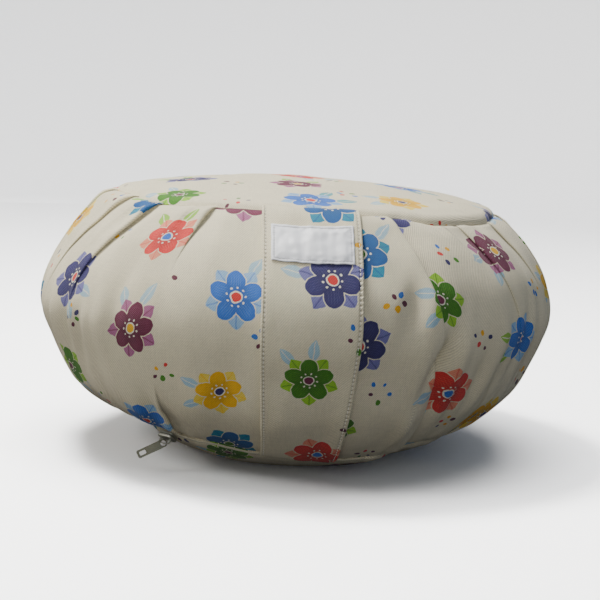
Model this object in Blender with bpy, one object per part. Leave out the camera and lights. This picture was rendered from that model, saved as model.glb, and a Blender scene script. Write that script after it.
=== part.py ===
"""Round meditation cushion (a zafu), modelled at its real size in metres, +Z up.

The cushion stands on its flat base, whose centre is the origin. One filled body carries
two round cloth panels let into it, a carrying band laid over its front (-Y), a sewn label
on the band, and the zip that closes the base seam. Azimuths are in degrees from the middle
of the band, positive towards +X. Arcs are lengths in metres along the cushion's outline,
from the edge of the flat base, up the side and over the shoulder to the middle of the top.
"""

import bisect
import math
from collections import namedtuple

import bmesh
import bpy
from mathutils import Matrix, Vector
from mathutils.geometry import interpolate_bezier

MM = 0.001

# Driving sizes of the cushion
DIAMETER = 360 * MM
HEIGHT = 190 * MM
FLAT_BASE_DIAMETER = 152 * MM
PANEL_THICKNESS = 1.5 * MM
GAP = 0.3 * MM
SEAM_PINCH = 1.2 * MM
SEAM_PINCH_WIDTH = 7 * MM

# Driving sizes of the carrying band and its label
BAND_WIDTH = 62 * MM
BAND_BASE_WIDTH = 50 * MM
BAND_TAPER_END = 0.62
BAND_THICKNESS = 2 * MM
BAND_CLEARANCE = 0.6 * MM
LABEL_SIZE = (50 * MM, 30 * MM)
LABEL_THICKNESS = 1 * MM
LABEL_BELOW_SEAM = 16 * MM

# Driving sizes of the zip
ZIP_AZIMUTHS = (-49.0, 22.0)
ZIP_CHAIN_WIDTH = 3 * MM
ZIP_CHAIN_PROUD = 0.4 * MM
ZIP_END_ROOM = 5.0
SLIDER_AZIMUTH = -40.5
SLIDER_SIZE = (12.5 * MM, 9.2 * MM, 3.6 * MM)
SLIDER_WAIST = 0.72
BRIDGE_SIZE = (8.4 * MM, 1.8 * MM, 3.9 * MM)
BRIDGE_BAR = 0.75 * MM
BRIDGE_SINK = 0.4 * MM
PULL_LENGTH = 21 * MM
PULL_WIDTHS = (5.9 * MM, 6 * MM)
PULL_THICKNESS = 1 * MM
PULL_CORNER = 1.3 * MM
PULL_EYE_DIAMETER = 3.8 * MM
PULL_SLOT = (4.6 * MM, 2.8 * MM)
PULL_RIM = 1.5 * MM
PULL_HANG = 0.4 * MM
PULL_LEAN = (0.60, 0.66, -0.42)
PULL_FACING = (-0.45, 0.85, 0.22)

# The outline of the cushion, from the edge of its flat base to the middle of its top
Station = namedtuple("Station", "radius_share height_share mark")
OUTLINE = (
    Station(FLAT_BASE_DIAMETER / DIAMETER, 0.000, "flat edge"),
    Station(0.525, 0.021, ""),
    Station(0.628, 0.058, ""),
    Station(0.714, 0.108, "base seam"),
    Station(0.792, 0.172, ""),
    Station(0.884, 0.268, ""),
    Station(0.953, 0.400, ""),
    Station(1.000, 0.531, ""),
    Station(0.981, 0.655, ""),
    Station(0.908, 0.776, ""),
    Station(0.824, 0.859, ""),
    Station(0.750, 0.918, "top seam"),
    Station(0.625, 0.950, ""),
    Station(0.428, 0.978, ""),
    Station(0.220, 0.994, ""),
    Station(0.000, 1.000, "crown"),
)
OUTLINE_STEPS = 24

# The pleats of the side strip: where each one lies at the top seam, half way down and at
# the base seam, and how deep its valley is near either seam
Pleat = namedtuple("Pleat", "top middle base top_depth base_depth")
PLEATS = (
    Pleat(-162, -163, -160, 3.2, 3.0),
    Pleat(-143, -140, -142, 2.6, 3.4),
    Pleat(-123, -125, -122, 3.6, 2.6),
    Pleat(-104, -106, -108, 2.8, 3.2),
    Pleat(-84, -89, -90, 3.2, 2.8),
    Pleat(-58, -73, -76, 2.4, 3.4),
    Pleat(-43.5, -58, -62, 4.4, 2.4),
    Pleat(-26, -32, -36.5, 4.0, 4.8),
    Pleat(21.5, 28.5, 31.5, 2.6, 4.8),
    Pleat(43.5, 52, 55, 2.2, 3.2),
    Pleat(61.5, 66, 67, 2.8, 3.0),
    Pleat(85, 83, 86, 3.2, 2.6),
    Pleat(105, 103, 106, 2.6, 3.2),
    Pleat(124, 126, 123, 3.4, 2.8),
    Pleat(144, 142, 145, 2.8, 3.4),
    Pleat(163, 165, 162, 3.6, 2.6),
    Pleat(180, 181, 179, 2.8, 3.2),
)
VALLEY_WIDTH = 6.5 * MM
VALLEY_PEAK = 16 * MM
RIDGE_SHARE = 0.45
RIDGE_OFFSET = 13 * MM
RIDGE_WIDTH = 9 * MM

# How far the top panel's seam lies below its mean line, by azimuth
SEAM_DROOP = (
    (-180, 1 * MM),
    (-120, -4 * MM),
    (-66, -8 * MM),
    (-45, 0 * MM),
    (-20, -3 * MM),
    (10, -3 * MM),
    (24, 1 * MM),
    (36, 8 * MM),
    (55, 9 * MM),
    (75, 5 * MM),
    (120, 3 * MM),
    (180, 1 * MM),
)

# How far the base panel's seam lies above its mean line, by azimuth
BASE_SEAM_RISE = (
    (-180, 0 * MM),
    (-110, -2 * MM),
    (-70, 2 * MM),
    (-42, 8 * MM),
    (-28, 4 * MM),
    (-12, -5 * MM),
    (3, -11 * MM),
    (14, -15 * MM),
    (28, -12 * MM),
    (44, -5 * MM),
    (64, -3 * MM),
    (110, -1 * MM),
    (180, 0 * MM),
)

# How far the filling falls short of the plain outline near the base, by azimuth. The
# underside is also this share of it higher half way up to the reach
LOWER_TUCK = (
    (-180, 2 * MM),
    (-120, 3 * MM),
    (-90, 13 * MM),
    (-75, 27 * MM),
    (-57, 27 * MM),
    (-43, 9 * MM),
    (-27, 2 * MM),
    (0, 1 * MM),
    (26, 0 * MM),
    (39, 12 * MM),
    (50, 9 * MM),
    (66, 12 * MM),
    (84, 11 * MM),
    (110, 1 * MM),
    (150, 3 * MM),
    (180, 2 * MM),
)
LOWER_TUCK_REACH = 105 * MM
LOWER_TUCK_RAISE = 0.13

# How far the filling falls short of the plain outline at the shoulder, by azimuth
SHOULDER_TUCK = (
    (-180, 0 * MM),
    (-138, 3 * MM),
    (-112, 5 * MM),
    (-70, 3.6 * MM),
    (-35, 0 * MM),
    (60, 0 * MM),
    (180, 0 * MM),
)
SHOULDER_ARC = 205 * MM
SHOULDER_REACH = 62 * MM

# The top leans down towards +X by this slope, from the first height to the second
TOP_LEAN = 0.016
TOP_LEAN_HEIGHTS = (60 * MM, 170 * MM)

# Columns of facets in one gore between two pleats, and in the wide gore behind the band
GORE_COLUMNS = (0.0, 0.09, 0.28, 0.5, 0.72, 0.91)
FRONT_GORE_COLUMNS = (0.0, 0.04, 0.12, 0.21, 0.31, 0.4, 0.5, 0.6, 0.69, 0.79, 0.88, 0.96)
FRONT_GORE_LEAST_SPAN = 40.0
SIDE_ROWS = (0.0, 0.03, 0.09, 0.16, 0.24, 0.33, 0.42, 0.51, 0.60, 0.69, 0.77, 0.85, 0.92, 0.97, 1.0)
PANEL_ROWS = (0.0, 0.05, 0.35, 0.8)
BASE_ROWS = (0.0, 0.4, 0.75, 1.0)

CREAM_COTTON = (0.78, 0.74, 0.64, 1.0)
WHITE_SATIN = (0.86, 0.86, 0.87, 1.0)
ZIP_NYLON = (0.62, 0.60, 0.52, 1.0)
ZIP_METAL = (0.42, 0.43, 0.38, 1.0)


# ---------------------------------------------------------------- outline of the cushion


def outline_points():
    """The outline as close points (radius, height), and the arc at each of its stations."""
    stations = [
        Vector((row.radius_share * DIAMETER / 2, row.height_share * HEIGHT)) for row in OUTLINE
    ]
    tangents = [Vector((1, 0))]
    for before, after in zip(stations, stations[2:]):
        tangents.append((after - before).normalized())
    tangents.append(Vector((-1, 0)))
    points = [stations[0]]
    arcs = [0.0]
    marks = {OUTLINE[0].mark: 0.0}
    for index in range(len(stations) - 1):
        start, end = stations[index], stations[index + 1]
        reach = (end - start).length / 3
        handles = (start + tangents[index] * reach, end - tangents[index + 1] * reach)
        for point in interpolate_bezier(start, *handles, end, OUTLINE_STEPS)[1:]:
            flat = Vector((point[0], point[1]))
            arcs.append(arcs[-1] + (flat - points[-1]).length)
            points.append(flat)
        if OUTLINE[index + 1].mark:
            marks[OUTLINE[index + 1].mark] = arcs[-1]
    return points, arcs, marks


POINTS, ARCS, MARKS = outline_points()
CROWN = MARKS["crown"]


def on_outline(arc):
    """The outline's (radius, height) at an arc, and its outward normal there."""
    arc = min(max(arc, 0.0), CROWN)
    index = min(max(bisect.bisect_left(ARCS, arc), 1), len(ARCS) - 1)
    start, end = POINTS[index - 1], POINTS[index]
    share = (arc - ARCS[index - 1]) / (ARCS[index] - ARCS[index - 1])
    along = (end - start).normalized()
    return start.lerp(end, share), Vector((along.y, -along.x))


def eased(table, azimuth):
    """A value read from a table of (azimuth, value) rows, eased between the rows."""
    azimuth = (azimuth + 180) % 360 - 180
    for (low, before), (high, after) in zip(table, table[1:]):
        if azimuth <= high:
            share = (azimuth - low) / (high - low)
            return before + (after - before) * share * share * (3 - 2 * share)
    return table[-1][1]


def top_seam(azimuth):
    """The arc at which the top panel's seam runs."""
    return MARKS["top seam"] - eased(SEAM_DROOP, azimuth)


def base_seam(azimuth):
    """The arc at which the base panel's seam runs."""
    return MARKS["base seam"] + eased(BASE_SEAM_RISE, azimuth)


def side_arc(azimuth, share):
    """The arc at a share of the way from the base seam to the top seam."""
    return base_seam(azimuth) + (top_seam(azimuth) - base_seam(azimuth)) * share


# ------------------------------------------------------------------- relief of the cloth


def pleat_azimuth(pleat, share):
    """Where a pleat lies at a share of the way from the base seam to the top seam."""
    below, above = 1 - share, share
    bend = pleat.middle - (pleat.top + pleat.base) / 2
    return pleat.base * below + pleat.top * above + bend * 4 * below * above


def valley_depth(depth, from_seam):
    """A pleat's depth: none in the stitching, most just past it, and fading away."""
    reach = max(from_seam, 0.0) / VALLEY_PEAK
    return depth * MM * reach * math.exp(1 - reach)


def pleat_relief(azimuth, share, radius, from_base, from_top):
    """Height of the cloth over the plain outline, from the pleats' valleys and ridges."""
    height = 0.0
    for pleat in PLEATS:
        turn = (azimuth - pleat_azimuth(pleat, share) + 180) % 360 - 180
        across = math.radians(turn) * radius
        if abs(across) > 40 * MM:
            continue
        depth = valley_depth(pleat.top_depth, from_top)
        depth += valley_depth(pleat.base_depth, from_base)
        valley = math.exp(-((across / VALLEY_WIDTH) ** 2))
        ridge = math.exp(-(((abs(across) - RIDGE_OFFSET) / RIDGE_WIDTH) ** 2))
        height += depth * (RIDGE_SHARE * ridge - valley)
    return height


def tucked(azimuth, arc):
    """How far the cushion is narrower than the plain outline at an arc, and how far higher."""
    reach = math.pi / 2 * min(arc / LOWER_TUCK_REACH, 1.0)
    lower = eased(LOWER_TUCK, azimuth)
    away = math.pi / 2 * min(abs(arc - SHOULDER_ARC) / SHOULDER_REACH, 1.0)
    narrower = lower * math.cos(reach) ** 2
    narrower += eased(SHOULDER_TUCK, azimuth) * math.cos(away) ** 2
    return narrower, LOWER_TUCK_RAISE * lower * math.sin(2 * reach) ** 2


def leaning(east, height):
    """How far the top has sunk at a distance towards +X and a height."""
    low, high = TOP_LEAN_HEIGHTS
    share = min(max((height - low) / (high - low), 0.0), 1.0)
    return TOP_LEAN * east * share * share * (3 - 2 * share)


def seam_pinch(arc, seam):
    """How far the stitching draws the cloth in beside a seam."""
    return SEAM_PINCH * math.exp(-(((arc - seam) / SEAM_PINCH_WIDTH) ** 2))


def surface(azimuth, arc, inset=0.0):
    """A point of the cushion's outer face, or that far inside it."""
    low, high = base_seam(azimuth), top_seam(azimuth)
    (radius, height), normal = on_outline(arc)
    raised = -seam_pinch(arc, high)
    if low < arc < high:
        share = (arc - low) / (high - low)
        raised += pleat_relief(azimuth, share, radius, arc - low, high - arc)
    narrower, higher = tucked(azimuth, arc)
    radius += normal.x * (raised - inset) - narrower
    height += higher
    turn = math.radians(azimuth)
    east, north = radius * math.sin(turn), -radius * math.cos(turn)
    sunk = leaning(east, height)
    return Vector((east, north, height + normal.y * (raised - inset) - sunk))


def column_azimuths(share):
    """The azimuth of every column of facets at a share of the way up the side."""
    lines = sorted(pleat_azimuth(pleat, share) for pleat in PLEATS)
    lines.append(lines[0] + 360)
    azimuths = []
    for start, end in zip(lines, lines[1:]):
        wide = end - start > FRONT_GORE_LEAST_SPAN
        columns = FRONT_GORE_COLUMNS if wide else GORE_COLUMNS
        azimuths += [start + (end - start) * column for column in columns]
    return azimuths


# ------------------------------------------------------------------------ making meshes


def material(name, color, roughness, metallic=0.0):
    """A Principled BSDF with one plain colour."""
    made = bpy.data.materials.new(name)
    made.use_nodes = True
    shader = made.node_tree.nodes["Principled BSDF"]
    shader.inputs["Base Color"].default_value = color
    shader.inputs["Roughness"].default_value = roughness
    shader.inputs["Metallic"].default_value = metallic
    return made


def finished(name, mesh_builder, look, smooth_below=35.0):
    """The bmesh as a named object, with smooth shading up to that angle."""
    bmesh.ops.recalc_face_normals(mesh_builder, faces=mesh_builder.faces)
    mesh = bpy.data.meshes.new(name)
    mesh_builder.to_mesh(mesh)
    mesh_builder.free()
    mesh.shade_smooth()
    mesh.set_sharp_from_angle(angle=math.radians(smooth_below))
    mesh.materials.append(look)
    made = bpy.data.objects.new(name, mesh)
    bpy.context.scene.collection.objects.link(made)
    return made


def lofted(name, rings, look, closed_ring=False):
    """A solid through rings of points, each bridged to the next.

    The two end rings are capped, or joined to each other for a closed ring of rings.
    """
    builder = bmesh.new()
    loops = []
    for ring in rings:
        corners = [builder.verts.new(point) for point in ring]
        pairs = zip(corners, corners[1:] + corners[:1])
        loops.append([builder.edges.new(pair) for pair in pairs])
    for lower, upper in zip(loops, loops[1:]):
        bmesh.ops.bridge_loops(builder, edges=lower + upper)
    if closed_ring:
        bmesh.ops.bridge_loops(builder, edges=loops[-1] + loops[0])
    else:
        bmesh.ops.contextual_create(builder, geom=loops[0])
        bmesh.ops.contextual_create(builder, geom=loops[-1])
    return finished(name, builder, look)


def box(size, place=Matrix(), bevel=0.0):
    """A bmesh box of that size about the place's origin, its long edges rounded."""
    builder = bmesh.new()
    bmesh.ops.create_cube(builder, size=1.0, matrix=place @ Matrix.Diagonal((*size, 1)))
    if bevel:
        bmesh.ops.bevel(
            builder, geom=builder.edges[:], offset=bevel, segments=2, profile=0.5,
            affect="EDGES", material=-1,
        )
    return builder


def boolean(solid, tool, operation):
    """Joins the tool to the solid, or cuts it out, with a modifier."""
    tool.hide_render = True
    tool.display_type = "WIRE"
    modifier = solid.modifiers.new(operation.title(), "BOOLEAN")
    modifier.operation = operation
    modifier.object = tool
    modifier.solver = "EXACT"


# ----------------------------------------------------------------------- cloth of the cushion


def ring_at(arc_of, inset, share):
    """A ring of points right round the cushion, at the arc that arc_of gives by azimuth."""
    return [surface(az, arc_of(az), inset) for az in column_azimuths(share)]


def flat_ring(radius_share, height):
    """A level ring in the flat of the base, as a share of its radius."""
    radius = radius_share * FLAT_BASE_DIAMETER / 2
    ring = []
    for azimuth in column_azimuths(0.0):
        turn = math.radians(azimuth)
        ring.append(Vector((radius * math.sin(turn), -radius * math.cos(turn), height)))
    return ring


def panel_arc(share):
    """By azimuth, the arc at a share of the way from the top seam to the crown."""
    return lambda azimuth: top_seam(azimuth) + (CROWN - top_seam(azimuth)) * share


def base_arc(share, azimuth, rim):
    """The arc at a share of the way from the edge of the flat to the base seam or rim."""
    return base_seam(azimuth) * share - (rim(azimuth) if share == 1.0 else 0.0)


def no_rim(azimuth):
    """The base panel's bed reaches the seam."""
    return 0.0


def zip_rim(azimuth):
    """How far the base panel stops short of the seam: further beside the zip."""
    start, end = ZIP_AZIMUTHS
    beside_zip = start - ZIP_END_ROOM <= azimuth <= end + ZIP_END_ROOM
    return ZIP_CHAIN_WIDTH + 2 * GAP if beside_zip else GAP


def cushion_body(look):
    """The filled body: the pleated side, and a bed for each of the two round panels."""
    bed = PANEL_THICKNESS + GAP
    rings = [flat_ring(0.45, bed)]
    for share in BASE_ROWS:
        rings.append(ring_at(lambda az: base_arc(share, az, no_rim), bed, 0.0))
    for share in SIDE_ROWS:
        rings.append(ring_at(lambda az: side_arc(az, share), 0.0, share))
    for share in PANEL_ROWS:
        rings.append(ring_at(panel_arc(share), bed, 1.0))
    return lofted("filled_body", rings, look)


def top_panel(look):
    """The round panel of the top, let into the body down to its bed."""
    outer, inner = [], []
    for share in PANEL_ROWS:
        edge = GAP if share == 0.0 else 0.0
        arc_of = panel_arc(share)
        outer.append(ring_at(lambda az: arc_of(az) + edge, 0.0, 1.0))
        inner.append(ring_at(lambda az: arc_of(az) + edge, PANEL_THICKNESS, 1.0))
    return lofted("top_panel", inner[::-1] + outer, look)


def base_panel(look):
    """The round panel that the cushion stands on, turned up at its rim to the base seam."""
    outer, inner = [flat_ring(0.45, 0.0)], [flat_ring(0.45, PANEL_THICKNESS)]
    for share in BASE_ROWS:
        outer.append(ring_at(lambda az: base_arc(share, az, zip_rim), 0.0, 0.0))
        inner.append(ring_at(lambda az: base_arc(share, az, zip_rim), PANEL_THICKNESS, 0.0))
    return lofted("base_panel", outer + inner[::-1], look)


# ----------------------------------------------------------------------- band and label


def band_half_width(share):
    """Half the carrying band's width at a share of the way up the side."""
    widening = min(share / BAND_TAPER_END, 1.0)
    eased_share = widening * widening * (3 - 2 * widening)
    return (BAND_BASE_WIDTH + (BAND_WIDTH - BAND_BASE_WIDTH) * eased_share) / 2


def band_section(share, columns, half_width, low, high):
    """One closed section of a strip laid over the side, between two heights over it."""
    radius = on_outline(side_arc(0.0, share))[0].x
    under, over = [], []
    for column in range(columns + 1):
        across = half_width * (2 * column / columns - 1)
        azimuth = math.degrees(across / radius)
        arc = side_arc(azimuth, share)
        under.append(surface(azimuth, arc, -low))
        over.append(surface(azimuth, arc, -high))
    return under + over[::-1]


def carrying_band(look):
    """The doubled strip of cloth sewn into both seams at the front."""
    low, high = BAND_CLEARANCE, BAND_CLEARANCE + BAND_THICKNESS
    sections = [
        band_section(share, 10, band_half_width(share), low, high) for share in SIDE_ROWS
    ]
    return lofted("carrying_band", sections, look)


def sewn_label(look):
    """The small woven label sewn to the band below the top seam."""
    side = top_seam(0.0) - base_seam(0.0)
    width, height = LABEL_SIZE
    low = BAND_CLEARANCE + BAND_THICKNESS + GAP
    top = 1 - LABEL_BELOW_SEAM / side
    bottom = top - height / side
    inner_rows = [share for share in SIDE_ROWS if bottom + 0.01 < share < top - 0.01]
    sections = [
        band_section(share, 8, width / 2, low, low + LABEL_THICKNESS)
        for share in (bottom, *inner_rows, top)
    ]
    return lofted("sewn_label", sections, look)


# ---------------------------------------------------------------------------------- zip


def zip_chain(look):
    """The closed chain of the zip, lying in the channel between the side and the base panel."""
    start, end = ZIP_AZIMUTHS
    columns = [az for az in column_azimuths(0.0) if start < az < end]
    sections = []
    for azimuth in columns:
        top_arc = base_seam(azimuth) - GAP
        bottom_arc = top_arc - ZIP_CHAIN_WIDTH
        sections.append(
            [
                surface(azimuth, bottom_arc, PANEL_THICKNESS),
                surface(azimuth, top_arc, PANEL_THICKNESS),
                surface(azimuth, top_arc, -ZIP_CHAIN_PROUD),
                surface(azimuth, bottom_arc, -ZIP_CHAIN_PROUD),
            ]
        )
    return lofted("zip_chain", sections, look)


def slider_frame():
    """The slider's axes on the base seam: x away from the band, y up the side, z outwards."""
    middle = base_seam(SLIDER_AZIMUTH) - GAP - ZIP_CHAIN_WIDTH / 2
    origin = surface(SLIDER_AZIMUTH, middle, -ZIP_CHAIN_PROUD)
    along = surface(SLIDER_AZIMUTH - 2, middle) - surface(SLIDER_AZIMUTH + 2, middle)
    along.normalize()
    up_side = surface(SLIDER_AZIMUTH, middle + 2 * MM) - surface(SLIDER_AZIMUTH, middle - 2 * MM)
    outward = along.cross(up_side).normalized()
    if outward.z > 0:
        outward = -outward
    up_side = outward.cross(along)
    axes = Matrix((along, up_side, outward)).transposed().to_4x4()
    return Matrix.Translation(origin) @ axes


def zip_slider(look):
    """The slider: a waisted plate over the chain, with a bridge for the pull."""
    length, width, thickness = SLIDER_SIZE
    frame = slider_frame()
    plate = box((length, width, thickness))
    for corner in plate.verts:
        if corner.co.x > 0:
            corner.co.y *= SLIDER_WAIST
    bmesh.ops.bevel(
        plate, geom=plate.edges[:], offset=0.6 * MM, segments=2, profile=0.5,
        affect="EDGES", material=-1,
    )
    plate.transform(frame @ Matrix.Translation((0, 0, GAP + thickness / 2)))
    slider = finished("zip_slider", plate, look)
    span, breadth, rise = BRIDGE_SIZE
    foot = GAP + thickness - BRIDGE_SINK
    for number, x in enumerate((-span / 2, span / 2)):
        place = frame @ Matrix.Translation((x, 0, foot + rise / 2))
        post = box((BRIDGE_BAR, breadth, rise), place)
        boolean(slider, finished(f"bridge_post_{number}", post, look), "UNION")
    bar_place = frame @ Matrix.Translation((0, 0, foot + rise))
    bar = box((span + 1.4 * BRIDGE_BAR, BRIDGE_BAR, BRIDGE_BAR), bar_place)
    boolean(slider, finished("bridge_bar", bar, look), "UNION")
    return slider


def pull_frame():
    """The pull's axes: x from its eye to its tip, y across it, z out of its face.

    The eye hangs round the bridge's bar, and the tongue leans outwards and down.
    """
    hang = Vector((PULL_HANG, 0, GAP + SLIDER_SIZE[2] - BRIDGE_SINK + BRIDGE_SIZE[2]))
    origin = slider_frame() @ hang
    turn = math.radians(SLIDER_AZIMUTH)
    away = Vector((-math.cos(turn), -math.sin(turn), 0))
    outward = Vector((math.sin(turn), -math.cos(turn), 0))
    axes = Matrix((away, outward, Vector((0, 0, 1)))).transposed()
    along = (axes @ Vector(PULL_LEAN)).normalized()
    facing = axes @ Vector(PULL_FACING)
    across = facing.cross(along).normalized()
    facing = along.cross(across)
    return Matrix.Translation(origin) @ Matrix((along, across, facing)).transposed().to_4x4()


def disc_points(middle, radius, thickness):
    """The points of a round disc's two faces, about a middle in the pull's plane."""
    points = []
    for step in range(16):
        turn = math.tau * step / 16
        x, y = middle[0] + radius * math.cos(turn), middle[1] + radius * math.sin(turn)
        points += [Vector((x, y, -thickness / 2)), Vector((x, y, thickness / 2))]
    return points


def zip_pull(look):
    """The pull tab: a flat tongue with an eye round the bridge and a slot at its tip."""
    eye_end, tip_end = PULL_WIDTHS
    tip = PULL_LENGTH - eye_end / 2
    points = disc_points((0, 0), eye_end / 2, PULL_THICKNESS)
    for side in (-1, 1):
        corner = (tip - PULL_CORNER, side * (tip_end / 2 - PULL_CORNER))
        points += disc_points(corner, PULL_CORNER, PULL_THICKNESS)
    tongue = bmesh.new()
    corners = [tongue.verts.new(point) for point in points]
    hull = bmesh.ops.convex_hull(tongue, input=corners)
    idle = {part for part in hull["geom_interior"] if isinstance(part, bmesh.types.BMVert)}
    bmesh.ops.delete(tongue, geom=list(idle), context="VERTS")
    bmesh.ops.dissolve_limit(
        tongue, angle_limit=math.radians(1), verts=tongue.verts, edges=tongue.edges
    )
    frame = pull_frame()
    tongue.transform(frame)
    pull = finished("zip_pull", tongue, look)
    eye = bmesh.new()
    bmesh.ops.create_cone(
        eye, cap_ends=True, segments=20, radius1=PULL_EYE_DIAMETER / 2,
        radius2=PULL_EYE_DIAMETER / 2, depth=3 * PULL_THICKNESS, matrix=frame,
    )
    boolean(pull, finished("eye_cutter", eye, look), "DIFFERENCE")
    slot_middle = tip - PULL_RIM - PULL_SLOT[0] / 2
    slot_place = frame @ Matrix.Translation((slot_middle, 0, 0))
    slot = box((*PULL_SLOT, 3 * PULL_THICKNESS), slot_place)
    boolean(pull, finished("slot_cutter", slot, look), "DIFFERENCE")
    return pull


def main():
    """Clears the scene and builds every piece."""
    for old in list(bpy.data.objects):
        bpy.data.objects.remove(old)
    cotton = material("cream_cotton", CREAM_COTTON, 0.85)
    satin = material("white_satin", WHITE_SATIN, 0.5)
    nylon = material("zip_nylon", ZIP_NYLON, 0.55)
    metal = material("zip_metal", ZIP_METAL, 0.35, metallic=1.0)
    cushion_body(cotton)
    top_panel(cotton)
    base_panel(cotton)
    carrying_band(cotton)
    sewn_label(satin)
    zip_chain(nylon)
    zip_slider(metal)
    zip_pull(metal)


main()
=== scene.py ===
"""A round meditation cushion of printed cotton twill, sewn, pleated and filled.

Every cloth piece starts as a flat grid, as it does on a cutting table, carries its own cut
in metres as its UV map, and is then laid over one form of the filled cushion. Azimuths are
in degrees from the middle of the carrying band (-Y), positive towards +X. Arcs are metres
along the cushion's outline, from the edge of its flat base, up the side to the crown.
"""

from __future__ import annotations

import bisect
import logging
import math
from dataclasses import dataclass, field
from enum import Enum
from functools import lru_cache
from typing import Callable, Iterable, NamedTuple, Sequence

import bmesh
import bpy
from mathutils import Matrix, Vector, noise
from mathutils.geometry import interpolate_bezier


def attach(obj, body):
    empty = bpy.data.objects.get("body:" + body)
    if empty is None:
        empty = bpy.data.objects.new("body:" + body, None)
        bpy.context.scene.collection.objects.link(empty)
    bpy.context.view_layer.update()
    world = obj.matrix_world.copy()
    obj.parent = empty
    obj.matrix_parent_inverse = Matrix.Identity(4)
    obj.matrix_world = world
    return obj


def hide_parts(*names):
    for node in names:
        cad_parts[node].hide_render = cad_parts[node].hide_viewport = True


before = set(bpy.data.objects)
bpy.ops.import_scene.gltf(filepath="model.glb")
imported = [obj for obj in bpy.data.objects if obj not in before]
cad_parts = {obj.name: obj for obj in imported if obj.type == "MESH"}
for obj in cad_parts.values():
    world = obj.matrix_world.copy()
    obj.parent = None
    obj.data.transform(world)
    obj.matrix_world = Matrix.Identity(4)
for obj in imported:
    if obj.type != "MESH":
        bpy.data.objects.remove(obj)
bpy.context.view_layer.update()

log = logging.getLogger("cushion")

Triple = tuple[float, float, float]
Tint = tuple[float, float, float, float]

MM = 0.001


# ------------------------------------------------------------------ the filled cushion's form


class Station(NamedTuple):
    """One station of the outline: radius and height in metres, and its mark, if any."""

    radius: float
    height: float
    mark: str = ""


class Sway(NamedTuple):
    """A length in millimetres at an azimuth, eased to the next one."""

    azimuth: float
    length: float


class Pleat(NamedTuple):
    """A knife pleat of the side strip.

    Its azimuth is given at the top seam, half way down and at the base seam. The laps are
    how high its lip stands near each seam and the runs how far the lip goes from there, in
    millimetres. lip is 1 where the lip faces larger azimuths and -1 where it faces smaller.
    """

    top: float
    middle: float
    base: float
    top_lap: float
    base_lap: float
    top_run: float
    base_run: float
    lip: int


class Dent(NamedTuple):
    """A soft fold: its middle, half length, half width, lean from upright and lift."""

    azimuth: float
    height: float
    run: float
    width: float
    lean: float
    lift: float


OUTLINE = (
    Station(0.0760, 0.0000, "flat edge"),
    Station(0.0945, 0.0040),
    Station(0.1130, 0.0110),
    Station(0.1285, 0.0205, "base seam"),
    Station(0.1426, 0.0326),
    Station(0.1592, 0.0510),
    Station(0.1716, 0.0760),
    Station(0.1798, 0.1008),
    Station(0.1765, 0.1245),
    Station(0.1635, 0.1474),
    Station(0.1484, 0.1632),
    Station(0.1350, 0.1744, "top seam"),
    Station(0.1125, 0.1805),
    Station(0.0770, 0.1858),
    Station(0.0396, 0.1888),
    Station(0.0000, 0.1899, "crown"),
)

SEAM_DROOP = (
    Sway(-180, 1), Sway(-120, -4), Sway(-66, -8), Sway(-45, 0), Sway(-20, -3), Sway(10, -3),
    Sway(24, 1), Sway(36, 8), Sway(55, 9), Sway(75, 5), Sway(120, 3), Sway(180, 1),
)
BASE_RISE = (
    Sway(-180, 0), Sway(-110, -2), Sway(-70, 2), Sway(-42, 8), Sway(-28, 4), Sway(-12, -5),
    Sway(3, -11), Sway(14, -15), Sway(28, -12), Sway(44, -5), Sway(64, -3), Sway(110, -1),
    Sway(180, 0),
)
LOWER_TUCK = (
    Sway(-180, 2), Sway(-120, 3), Sway(-90, 13), Sway(-75, 27), Sway(-57, 27), Sway(-43, 9),
    Sway(-27, 2), Sway(0, 1), Sway(26, 0), Sway(39, 12), Sway(50, 9), Sway(66, 12),
    Sway(84, 11), Sway(110, 1), Sway(150, 3), Sway(180, 2),
)
SHOULDER_TUCK = (
    Sway(-180, 0), Sway(-138, 3), Sway(-112, 5), Sway(-70, 3.6), Sway(-35, 0), Sway(60, 0),
    Sway(180, 0),
)

PLEATS = (
    Pleat(-162, -163, -160, 2.7, 2.1, 72, 52, 1),
    Pleat(-143, -140, -142, 2.0, 2.6, 50, 60, 1),
    Pleat(-123, -125, -122, 2.9, 1.8, 92, 46, 1),
    Pleat(-104, -106, -108, 2.1, 2.4, 58, 62, 1),
    Pleat(-84, -89, -90, 2.6, 2.0, 76, 44, 1),
    Pleat(-58, -73, -76, 2.4, 2.1, 100, 50, 1),
    Pleat(-43.5, -58, -62, 3.2, 1.6, 104, 36, 1),
    Pleat(-26, -32, -36.5, 3.0, 4.2, 54, 56, 1),
    Pleat(21.5, 28.5, 31.5, 2.9, 3.4, 150, 52, 1),
    Pleat(43.5, 52, 55, 1.2, 1.5, 135, 36, -1),
    Pleat(61.5, 66, 67, 1.5, 1.9, 80, 44, -1),
    Pleat(85, 83, 86, 2.6, 1.9, 80, 44, -1),
    Pleat(105, 103, 106, 2.0, 2.5, 54, 62, -1),
    Pleat(124, 126, 123, 2.8, 1.9, 84, 46, -1),
    Pleat(144, 142, 145, 2.1, 2.5, 56, 58, -1),
    Pleat(163, 165, 162, 2.7, 2.0, 74, 48, -1),
    Pleat(180, 181, 179, 2.1, 2.4, 56, 60, 1),
)

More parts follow.
